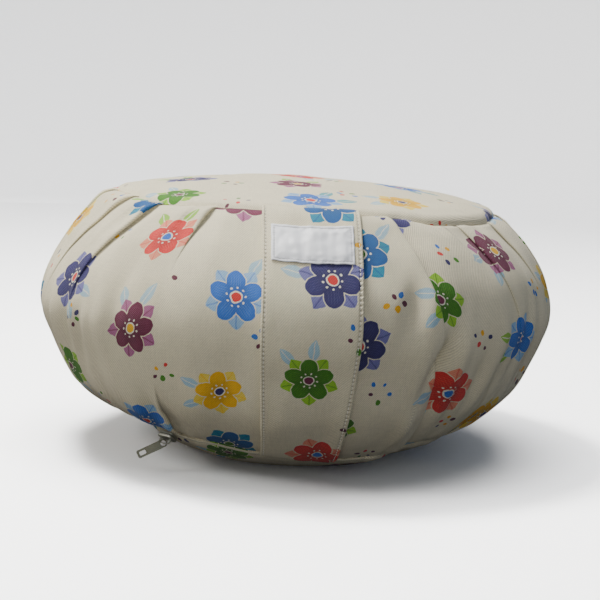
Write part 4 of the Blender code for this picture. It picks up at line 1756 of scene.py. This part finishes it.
    def bump(self, height: Value, distance: float, under: Socket | None = None) -> Socket:
        """A Bump node's normal, over the one under it if given."""
        node = self.add("ShaderNodeBump")
        self.feed(node.inputs["Height"], height)
        self.feed(node.inputs["Distance"], distance)
        self.feed(node.inputs["Strength"], 1.0)
        self.feed(node.inputs["Normal"], under)
        return node.outputs[0]


class Kind(Enum):
    """What a node group's socket carries."""

    VALUE = "NodeSocketFloat"
    VECTOR = "NodeSocketVector"
    COLOUR = "NodeSocketColor"


def new_group(
    name: str, inputs: dict[str, Kind], outputs: dict[str, Kind]
) -> tuple[Wiring, dict[str, Socket], dict[str, Socket]]:
    """Starts a shader node group.

    Args:
        name: the group's name.
        inputs: its input sockets.
        outputs: its output sockets.

    Returns:
        The wiring of its tree, its inputs to read from and its outputs to feed.
    """
    tree = bpy.data.node_groups.new(name, "ShaderNodeTree")
    for way, sockets in (("INPUT", inputs), ("OUTPUT", outputs)):
        for label, kind in sockets.items():
            tree.interface.new_socket(label, in_out=way, socket_type=kind.value)
    wiring = Wiring(tree)
    source, sink = wiring.add("NodeGroupInput"), wiring.add("NodeGroupOutput")
    given = {label: source.outputs[label] for label in inputs}
    result = {label: sink.inputs[label] for label in outputs}
    return wiring, given, result


BLOSSOM_DYES = (
    (ink(226, 52, 52), ink(242, 150, 120)),
    (ink(246, 186, 8), ink(244, 214, 84)),
    (ink(58, 128, 12), ink(150, 206, 52)),
    (ink(44, 110, 206), ink(150, 190, 226)),
    (ink(44, 40, 104), ink(118, 116, 176)),
    (ink(112, 32, 70), ink(178, 104, 146)),
    (ink(0, 88, 158), ink(10, 136, 168)),
)
SEED_DYES = (
    ink(226, 60, 56), ink(246, 180, 10), ink(70, 140, 20), ink(40, 110, 200),
    ink(44, 40, 100), ink(96, 34, 60),
)
LEAF_DYES = (ink(168, 200, 214), ink(150, 200, 70), ink(176, 206, 216), ink(96, 168, 176))
CREAM_DYE = ink(240, 234, 214)


def blossom_print() -> bpy.types.NodeTree:
    """The generic print: round blossoms, leaf pairs and sprays of seeds, in two rows of repeat.

    Returns:
        A group that gives the ink's colour and how much it covers at a place on the cut cloth.
    """
    wires, given, result = new_group(
        "scattered_blossoms",
        {"Cut": Kind.VECTOR, "Shift": Kind.VECTOR},
        {"Ink": Kind.COLOUR, "Cover": Kind.VALUE},
    )
    place = wires.vector("ADD", wires.millimetres(given["Cut"]), given["Shift"])
    drawn = wires.adrift(place, 0.22, 2.0, 0.5, 1.9)
    grain = wires.noise(place, 2.6, 2.0, 0.7)

    x, y, seeds, number = print_cell(wires, drawn, (0.0, 0.0), 7.0)
    full_dyes, pale_dyes = zip(*BLOSSOM_DYES)
    main, pale = wires.choice(number, full_dyes), wires.choice(number, pale_dyes)
    turn = wires.times(seeds[2], math.tau)
    size = wires.spread(seeds[0], 1.0, 1.2)
    x, y = wires.over(x, size), wires.over(y, size)
    cover, vein = leaf_pair(wires, x, y, turn)
    colour = wires.mix(vein, wires.choice(seeds[1], LEAF_DYES), CREAM_DYE)
    behind = wires.plus(turn, 0.628)
    rear, along, off = petals(wires, x, y, 5, behind, (11.2, 6.6), 4.9, True)
    rear_mask = wires.step(rear, -0.12, 0.16)
    stripe = wires.times(wires.step(off, 0.55, 0.25), wires.step(rear, 0.6, 1.2))
    rear_ink = wires.mix(wires.times(stripe, 0.55), pale, main)
    colour, cover = wires.mix(rear_mask, colour, rear_ink), wires.math("MAXIMUM", cover, rear_mask)
    front, along, off = petals(wires, x, y, 5, turn, (8.4, 6.4), 5.1, False)
    rim = wires.step(front, -0.62, -0.42)
    cover = wires.times(cover, wires.minus(1.0, rim))
    front_mask = wires.step(front, -0.12, 0.16)
    shade = wires.step(along, 3.2, -5.5)
    deep = wires.mix(0.55, main, (0, 0, 0, 1))
    front_ink = wires.mix(wires.times(shade, 0.45), main, deep)
    veins = wires.math("ABSOLUTE", wires.math("SINE", wires.times(off, 2.4)))
    fine = wires.times(wires.step(veins, 0.22, 0.06), wires.step(front, 1.3, 2.4))
    front_ink = wires.mix(wires.times(fine, 0.4), front_ink, pale)
    colour = wires.mix(front_mask, colour, front_ink)
    cover = wires.math("MAXIMUM", cover, front_mask)
    from_middle = wires.math("SQRT", square_sum(wires, x, y))
    colour = wires.mix(wires.step(from_middle, 3.5, 3.2), colour, CREAM_DYE)
    cover = wires.math("MAXIMUM", cover, wires.step(from_middle, 3.0, 2.7))
    middle_ink = wires.choice(wires.math("FRACT", wires.plus(number, 0.5)), full_dyes)
    colour = wires.mix(wires.step(from_middle, 2.7, 2.45), colour, middle_ink)
    stamens, _, _ = petals(wires, x, y, 9, turn, (5.0, 0.62), 0.62, False)
    colour = wires.mix(wires.step(stamens, -0.1, 0.12), colour, CREAM_DYE)

    x, y, seeds, number = print_cell(wires, drawn, (-24.0, -32.0), 6.0)
    spray, spray_ink = seed_spray(wires, x, y, seeds[2])
    colour, cover = wires.mix(spray, colour, spray_ink), wires.math("MAXIMUM", cover, spray)
    wires.feed(result["Ink"], colour)
    worn = wires.step(grain, 0.18, 0.42)
    wires.feed(result["Cover"], wires.times(cover, wires.spread(worn, 0.82, 0.97)))
    return wires.tree


def print_cell(
    wires: Wiring, place: Socket, offset: tuple[float, float], jitter: float
) -> tuple[Socket, Socket, tuple[Socket, Socket, Socket], Socket]:
    """Finds the half-drop repeat that a place lies in.

    Args:
        wires: the tree's wiring.
        place: the place on the cloth in millimetres.
        offset: the shift of this motif's middle within the repeat.
        jitter: how far the motif may wander from it.

    Returns:
        The two coordinates from the motif's middle, three random values and the motif's number.
    """
    pitch_x, pitch_y = 72.0, 64.0
    x, y, _ = wires.split(wires.vector("ADD", place, (offset[0], offset[1], 0.0)))
    column = wires.math("FLOOR", wires.over(x, pitch_x))
    odd = wires.math("FLOORED_MODULO", column, 2.0)
    dropped = wires.gain(odd, pitch_y / 2, y)
    row = wires.math("FLOOR", wires.over(dropped, pitch_y))
    seeds = wires.random(wires.joined(column, row, offset[0] + 0.5))
    across = wires.minus(x, wires.gain(column, pitch_x, pitch_x / 2))
    up = wires.minus(dropped, wires.gain(row, pitch_y, pitch_y / 2))
    across = wires.minus(across, wires.spread(seeds[0], -jitter, jitter))
    up = wires.minus(up, wires.spread(seeds[1], -jitter, jitter))
    order = wires.gain(column, 3 / 7, wires.times(row, 2 / 7))
    number = wires.math("FRACT", wires.plus(order, 1 / 14))
    return across, up, seeds, number


def square_sum(wires: Wiring, x: Value, y: Value) -> Socket:
    """The sum of two squares."""
    return wires.gain(x, x, wires.times(y, y))


def petals(
    wires: Wiring, x: Socket, y: Socket, count: int, turn: Value, reach: tuple[float, float],
    wide: float, pointed: bool,
) -> tuple[Socket, Socket, Socket]:
    """A ring of equal petals.

    Args:
        wires: the tree's wiring.
        x: the first coordinate from the ring's middle, in millimetres.
        y: the second.
        count: how many petals there are.
        turn: the angle by which the ring is turned.
        reach: how far out a petal's middle lies, and half its length.
        wide: half a petal's width.
        pointed: whether a petal's tip is pointed.

    Returns:
        How far inside a petal a place lies, and its place along and off the petal's middle.
    """
    sector = math.tau / count
    angle = wires.plus(wires.math("ARCTAN2", y, x), turn)
    part = wires.minus(wires.math("FRACT", wires.over(angle, sector)), 0.5)
    folded = wires.times(part, sector)
    out = wires.math("SQRT", square_sum(wires, x, y))
    along = wires.minus(wires.times(out, wires.math("COSINE", folded)), reach[0])
    off = wires.math("ABSOLUTE", wires.times(out, wires.math("SINE", folded)))
    share = wires.over(along, reach[1])
    if pointed:
        curve = wires.gain(wires.times(share, share), -wide, wide)
        return wires.minus(curve, off), along, off
    ring = wires.math("SQRT", square_sum(wires, share, wires.over(off, wide)))
    return wires.gain(ring, -wide, wide), along, off


def leaf_pair(wires: Wiring, x: Socket, y: Socket, turn: Socket) -> tuple[Socket, Socket]:
    """Two pointed leaves beside a blossom, and the veins down their middles."""
    across, up = wires.turned(x, y, wires.gain(turn, -1.0, 0.9))
    across, up = wires.turned(across, wires.math("ABSOLUTE", up), 0.42)
    along = wires.minus(across, 19.5)
    share = wires.over(along, 7.2)
    off = wires.math("ABSOLUTE", up)
    curve = wires.gain(wires.times(share, share), -3.3, 3.3)
    inside = wires.minus(curve, off)
    vein = wires.times(wires.step(off, 0.4, 0.2), wires.step(inside, 0.5, 1.2))
    return wires.step(inside, -0.12, 0.16), vein


def seed_spray(wires: Wiring, x: Socket, y: Socket, seed: Socket) -> tuple[Socket, Socket]:
    """Five loose seeds of different sizes and dyes."""
    sector = math.tau / 5
    turn = wires.times(seed, math.tau)
    angle = wires.plus(wires.math("ARCTAN2", y, x), turn)
    whole = wires.over(angle, sector)
    which = wires.math("FLOORED_MODULO", wires.math("FLOOR", whole), 5.0)
    own = wires.random(wires.joined(which, wires.times(seed, 97.0), 3.0))
    folded = wires.times(wires.minus(wires.math("FRACT", whole), 0.5), sector)
    out = wires.math("SQRT", square_sum(wires, x, y))
    reach = wires.spread(own[0], 3.4, 8.2)
    along = wires.minus(wires.times(out, wires.math("COSINE", folded)), reach)
    off = wires.times(out, wires.math("SINE", folded))
    long = wires.spread(own[1], 1.1, 1.9)
    away = wires.math("SQRT", square_sum(wires, wires.over(along, 1.25), off))
    inside = wires.minus(long, away)
    return wires.step(inside, -0.1, 0.14), wires.choice(own[2], SEED_DYES)


def twill_weave() -> bpy.types.NodeTree:
    """The twill's slanting wales, each broken into short floats of yarn.

    Returns:
        A group that gives the weave's tone, near 1, darker where the weave is low as painted shade
        and streaked by the yarn's own slubs, and its height from 0 to 1.
    """
    wires, given, result = new_group(
        "twill_weave",
        {"Cut": Kind.VECTOR, "Wale": Kind.VALUE},
        {"Tone": Kind.VALUE, "Height": Kind.VALUE},
    )
    place = wires.millimetres(given["Cut"])
    x, y, _ = wires.split(wires.adrift(place, 0.5, 3.0, 0.6, 0.7))
    over = wires.minus(wires.times(x, 0.77), wires.times(y, 0.64))
    along = wires.plus(wires.times(x, 0.64), wires.times(y, 0.77))
    over, along = wires.over(over, given["Wale"]), wires.over(along, given["Wale"])
    wale = wires.gain(wires.math("COSINE", wires.times(over, math.tau)), 0.5, 0.5)
    brick = wires.gain(wires.math("FLOOR", over), 0.38, wires.times(along, 0.9))
    floats = wires.math("COSINE", wires.times(brick, math.tau))
    floats = wires.gain(floats, 0.16, 0.84)
    yarn = wires.noise(place, 1.3, 2.0, 0.6)
    height = wires.times(wires.times(wale, floats), wires.spread(yarn, 0.6, 1.4))
    wires.feed(result["Height"], height)
    along_slub = wires.streaks(place, (0.09, 1.1, 1.0), 2.0)
    slubs = wires.plus(along_slub, wires.streaks(place, (1.1, 0.09, 1.0), 2.0))
    # painted shade: the tone falls with the weave's height, darker in the hollows between wales
    # and floats
    tone = wires.gain(height, 0.3, 0.79)
    wires.feed(result["Tone"], wires.gain(wires.minus(slubs, 1.0), 0.22, tone))
    return wires.tree


def cloth_mottling() -> bpy.types.NodeTree:
    """Handling and filling marks: soft patches, seed flecks and small creases.

    Returns:
        A group that gives a tone near 1, flecks from 0 to 1 and a crease height from 0 to 1.
    """
    wires, given, result = new_group(
        "cloth_mottling",
        {"Cut": Kind.VECTOR, "Flecks": Kind.VALUE},
        {"Tone": Kind.VALUE, "Fleck": Kind.VALUE, "Crease": Kind.VALUE},
    )
    place = wires.millimetres(given["Cut"])
    patches = wires.noise(place, 0.028, 3.0, 0.55)
    wires.feed(result["Tone"], wires.spread(patches, 0.9, 1.08))
    specks = wires.noise(place, 0.95, 1.0, 0.5)
    sparse = wires.noise(place, 0.21, 1.0, 0.5)
    fleck = wires.times(wires.step(specks, 0.73, 0.78), wires.step(sparse, 0.5, 0.62))
    wires.feed(result["Fleck"], wires.times(fleck, given["Flecks"]))
    upright = wires.vector("MULTIPLY", place, (1.0, 0.38, 1.0))
    wires.feed(result["Crease"], wires.noise(upright, 0.11, 3.0, 0.5))
    return wires.tree


def satin_weave() -> bpy.types.NodeTree:
    """The label's close satin weave, with fine ribs across it.

    Returns:
        A group that gives a tone near 1, cloudy from the yarn and a little darker in the low ribs
        as painted shade, and a height from 0 to 1.
    """
    wires, given, result = new_group(
        "satin_weave", {"Cut": Kind.VECTOR}, {"Tone": Kind.VALUE, "Height": Kind.VALUE}
    )
    place = wires.millimetres(given["Cut"])
    x, y, _ = wires.split(place)
    ribs = wires.math("SINE", wires.times(y, math.tau / 0.62))
    warps = wires.math("SINE", wires.times(x, math.tau / 0.42))
    height = wires.gain(ribs, 0.3, wires.gain(warps, 0.15, 0.5))
    wires.feed(result["Height"], height)
    cloudy = wires.noise(place, 0.16, 3.0, 0.6)
    # painted shade: the tone falls a little with the ribs' height; the cloudiness is the yarn's
    # own
    tone = wires.gain(height, 0.07, wires.spread(cloudy, 0.9, 1.04))
    wires.feed(result["Tone"], tone)
    return wires.tree


def spun_fibre() -> bpy.types.NodeTree:
    """The twist and fluff of a thread or tape, on the object's own coordinates.

    Returns:
        A group that gives a tone near 1, darker in the twist's grooves as painted shade, and a
        height from 0 to 1.
    """
    wires, given, result = new_group(
        "spun_fibre",
        {"Place": Kind.VECTOR, "Grain": Kind.VALUE},
        {"Tone": Kind.VALUE, "Height": Kind.VALUE},
    )
    place = wires.millimetres(given["Place"])
    x, y, z = wires.split(place)
    slant = wires.plus(x, wires.plus(z, y))
    twist = wires.math("SINE", wires.times(slant, wires.over(math.tau, given["Grain"])))
    fluff = wires.noise(place, 2.2, 2.0, 0.6)
    height = wires.gain(twist, 0.3, fluff)
    wires.feed(result["Height"], height)
    # painted shade: the tone follows the twist's height, darker in its grooves
    wires.feed(result["Tone"], wires.gain(height, 0.16, 0.9))
    return wires.tree


def cast_metal() -> bpy.types.NodeTree:
    """Small zinc castings, plated and handled: mottled, rubbed bright and finely scratched.

    Returns:
        A group that gives a tone near 1, a roughness and a height from 0 to 1.
    """
    wires, given, result = new_group(
        "cast_metal",
        {"Place": Kind.VECTOR, "Roughness": Kind.VALUE},
        {"Tone": Kind.VALUE, "Roughness": Kind.VALUE, "Height": Kind.VALUE},
    )
    place = wires.millimetres(given["Place"])
    cloudy = wires.noise(place, 0.7, 3.0, 0.6)
    scratches = wires.streaks(place, (0.6, 5.0, 2.0), 3.0)
    tone = wires.plus(wires.spread(cloudy, 0.72, 1.12), wires.spread(scratches, -0.1, 0.1))
    wires.feed(result["Tone"], tone)
    rough = wires.plus(given["Roughness"], wires.spread(scratches, -0.12, 0.16))
    wires.feed(result["Roughness"], rough)
    wires.feed(result["Height"], wires.gain(scratches, 0.5, wires.times(cloudy, 0.5)))
    return wires.tree


class Groups:
    """The shared node groups, each made once."""

    def __init__(self) -> None:
        """Makes every group."""
        self.blossoms = blossom_print()
        self.twill = twill_weave()
        self.mottling = cloth_mottling()
        self.satin = satin_weave()
        self.fibre = spun_fibre()
        self.metal = cast_metal()


def new_look(name: str) -> tuple[bpy.types.Material, Wiring, bpy.types.Node]:
    """Starts a material: the material, its wiring and its shader."""
    look = bpy.data.materials.new(name)
    look.use_nodes = True
    return look, Wiring(look.node_tree), look.node_tree.nodes["Principled BSDF"]


def plain_look(name: str, colour: Tint) -> bpy.types.Material:
    """A dull material of one colour."""
    look, _, shader = new_look(name)
    shader.inputs["Base Color"].default_value = colour
    shader.inputs["Roughness"].default_value = 0.9
    return look


def join_up(
    wires: Wiring, shader: bpy.types.Node, colour: object, tone: Socket, rough: Value,
    normal: Socket,
) -> None:
    """Joins a finish to its shader.

    Args:
        wires: the material's wiring.
        shader: its shader.
        colour: the colour before toning.
        tone: what the colour is multiplied by.
        rough: the roughness.
        normal: the normal.
    """
    toned = wires.mix(1.0, colour, wires.joined(tone, tone, tone), "MULTIPLY")
    wires.feed(shader.inputs["Base Color"], toned)
    wires.feed(shader.inputs["Roughness"], rough)
    wires.feed(shader.inputs["Normal"], normal)


@dataclass(frozen=True)
class PrintedTwill:
    """Cream cotton twill with the blossom print, for one piece cut from it.

    shift is where the piece was cut from the printed cloth, in millimetres.
    """

    name: str
    shift: tuple[float, float]
    cream: Triple = (235, 225, 194)
    wale: float = 1.12
    weave_relief: float = 0.24 * MM
    crease_relief: float = 0.55 * MM
    flecks: float = 0.35
    roughness: float = 0.88

    def build(self, groups: Groups) -> bpy.types.Material:
        """Makes the material."""
        look, wires, shader = new_look(self.name)
        cut = wires.add("ShaderNodeUVMap", uv_map="cut").outputs[0]
        pattern = wires.group(groups.blossoms, Cut=cut, Shift=(*self.shift, 0.0))
        weave = wires.group(groups.twill, Cut=cut, Wale=self.wale)
        marks = wires.group(groups.mottling, Cut=cut, Flecks=self.flecks)
        raw = wires.mix(marks.outputs["Fleck"], ink(*self.cream), ink(150, 122, 84))
        colour = wires.mix(pattern.outputs["Cover"], raw, pattern.outputs["Ink"])
        tone = wires.times(weave.outputs["Tone"], marks.outputs["Tone"])
        # painted shade: darker by up to 42% in pleats' creases, needle holes and along stitch
        # lines
        tone = wires.times(tone, wires.sewn(0.42))
        inked = wires.gain(pattern.outputs["Cover"], -0.1, self.roughness)
        creased = wires.bump(marks.outputs["Crease"], self.crease_relief)
        normal = wires.bump(weave.outputs["Height"], self.weave_relief, creased)
        join_up(wires, shader, colour, tone, inked, normal)
        shader.inputs["Specular IOR Level"].default_value = 0.25
        shader.inputs["Sheen Weight"].default_value = 0.12
        shader.inputs["Sheen Roughness"].default_value = 0.5
        return look


@dataclass(frozen=True)
class WovenSatin:
    """The label's white satin."""

    name: str = "white_satin"
    white: Triple = (240, 241, 244)
    roughness: float = 0.36
    relief: float = 0.05 * MM

    def build(self, groups: Groups) -> bpy.types.Material:
        """Makes the material."""
        look, wires, shader = new_look(self.name)
        cut = wires.add("ShaderNodeUVMap", uv_map="cut").outputs[0]
        weave = wires.group(groups.satin, Cut=cut)
        # painted shade: darker by up to half at the border stitching's needle holes and along its
        # line
        tone = wires.times(weave.outputs["Tone"], wires.sewn(0.5))
        rough = wires.gain(weave.outputs["Height"], 0.14, self.roughness)
        normal = wires.bump(weave.outputs["Height"], self.relief)
        join_up(wires, shader, ink(*self.white), tone, rough, normal)
        shader.inputs["Specular IOR Level"].default_value = 0.45
        return look


@dataclass(frozen=True)
class SpunCotton:
    """Thread, tape or cord: a plain dyed yarn with its twist."""

    name: str
    dye: Triple
    grain: float = 0.5
    roughness: float = 0.8
    relief: float = 0.08 * MM

    def build(self, groups: Groups) -> bpy.types.Material:
        """Makes the material."""
        look, wires, shader = new_look(self.name)
        place = wires.add("ShaderNodeTexCoord").outputs["Object"]
        fibre = wires.group(groups.fibre, Place=place, Grain=self.grain)
        tone = fibre.outputs["Tone"]
        rough = wires.gain(tone, -0.1, self.roughness + 0.1)
        normal = wires.bump(fibre.outputs["Height"], self.relief)
        join_up(wires, shader, ink(*self.dye), tone, rough, normal)
        shader.inputs["Specular IOR Level"].default_value = 0.3
        return look


@dataclass(frozen=True)
class PlatedMetal:
    """Dull nickel plate over cast zinc."""

    name: str
    plate: Triple = (150, 150, 134)
    roughness: float = 0.5
    relief: float = 0.05 * MM

    def build(self, groups: Groups) -> bpy.types.Material:
        """Makes the material."""
        look, wires, shader = new_look(self.name)
        place = wires.add("ShaderNodeTexCoord").outputs["Object"]
        cast = wires.group(groups.metal, Place=place, Roughness=self.roughness)
        tone, rough = cast.outputs["Tone"], cast.outputs["Roughness"]
        normal = wires.bump(cast.outputs["Height"], self.relief)
        join_up(wires, shader, ink(*self.plate), tone, rough, normal)
        shader.inputs["Metallic"].default_value = 1.0
        return look


def main() -> None:
    """Builds the studio and every piece."""
    logging.basicConfig(level=logging.INFO, format="%(name)s %(message)s")
    Studio().build()
    groups = Groups()
    form = CushionForm()
    side_cloth = PrintedTwill("side_twill", (12.0, 8.0)).build(groups)
    body = dress(FilledBody(form).build(), side_cloth, Finish.CLOTH, ["filled_body"])
    top_cloth = PrintedTwill("top_panel_twill", (40.0, 22.0)).build(groups)
    top_maker = RoundPanel(form, True)
    top = dress(top_maker.build(), top_cloth, Finish.CLOTH, ["top_panel"])
    top_maker.flat
    top_maker.area
    base_cloth = PrintedTwill("base_panel_twill", (5.0, 47.0)).build(groups)
    base_maker = RoundPanel(form, False)
    base = dress(base_maker.build(), base_cloth, Finish.CLOTH, ["base_panel"])
    base_maker.flat
    base_maker.area
    band_cloth = PrintedTwill("band_twill", (30.0, 15.0)).build(groups)
    band_maker = CarryingBand(form)
    band = dress(band_maker.build(), band_cloth, Finish.CLOTH, ["carrying_band"])
    thread = SpunCotton("cream_thread", (246, 242, 228)).build(groups)
    seams = Topstitching("band_topstitching", 0.42 * MM, band_maker.stitch_rows()).build()
    dress(seams, thread, Finish.CLOTH)
    band_maker.flat
    band_maker.area
    satin = WovenSatin().build(groups)
    label_maker = SewnLabel(band_maker)
    label = dress(label_maker.build(), satin, Finish.LABEL, ["sewn_label"])
    border_thread = SpunCotton("white_thread", (196, 197, 202)).build(groups)
    border = Topstitching("label_stitching", 0.24 * MM, label_maker.stitch_rows()).build()
    dress(border, border_thread, Finish.LABEL)
    zip_maker = ZipFastener(form)
    tape = SpunCotton("zip_tape", (206, 198, 172), grain=1.1).build(groups)
    teeth = SpunCotton("zip_coil", (196, 190, 168), grain=0.7, roughness=0.5).build(groups)
    # One nickel plate in two colours: lighter on the slider, painted light for a part that faces
    # down into shade, and darker on the pull, painted shade.
    slider_plate_painted_light = PlatedMetal("slider_nickel_painted_light", (205, 205, 190)).build(groups)
    pull_plate_painted_shade = PlatedMetal("pull_nickel_painted_shade", (108, 108, 94), 0.42).build(groups)
    dress(zip_maker.build_tape(), tape, Finish.ZIP_TAPE)
    dress(zip_maker.build_coil(), teeth, Finish.ZIP_TAPE, ["zip_chain"])
    dress(zip_maker.build_slider(), slider_plate_painted_light, Finish.ZIP_METAL, ["zip_slider"])
    dress(zip_maker.build_pull(), pull_plate_painted_shade, Finish.ZIP_METAL, ["zip_pull"])
    write_sizes()


def write_sizes() -> None:
    """Updates the view layer."""
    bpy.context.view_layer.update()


if __name__ == "__main__":
    main()
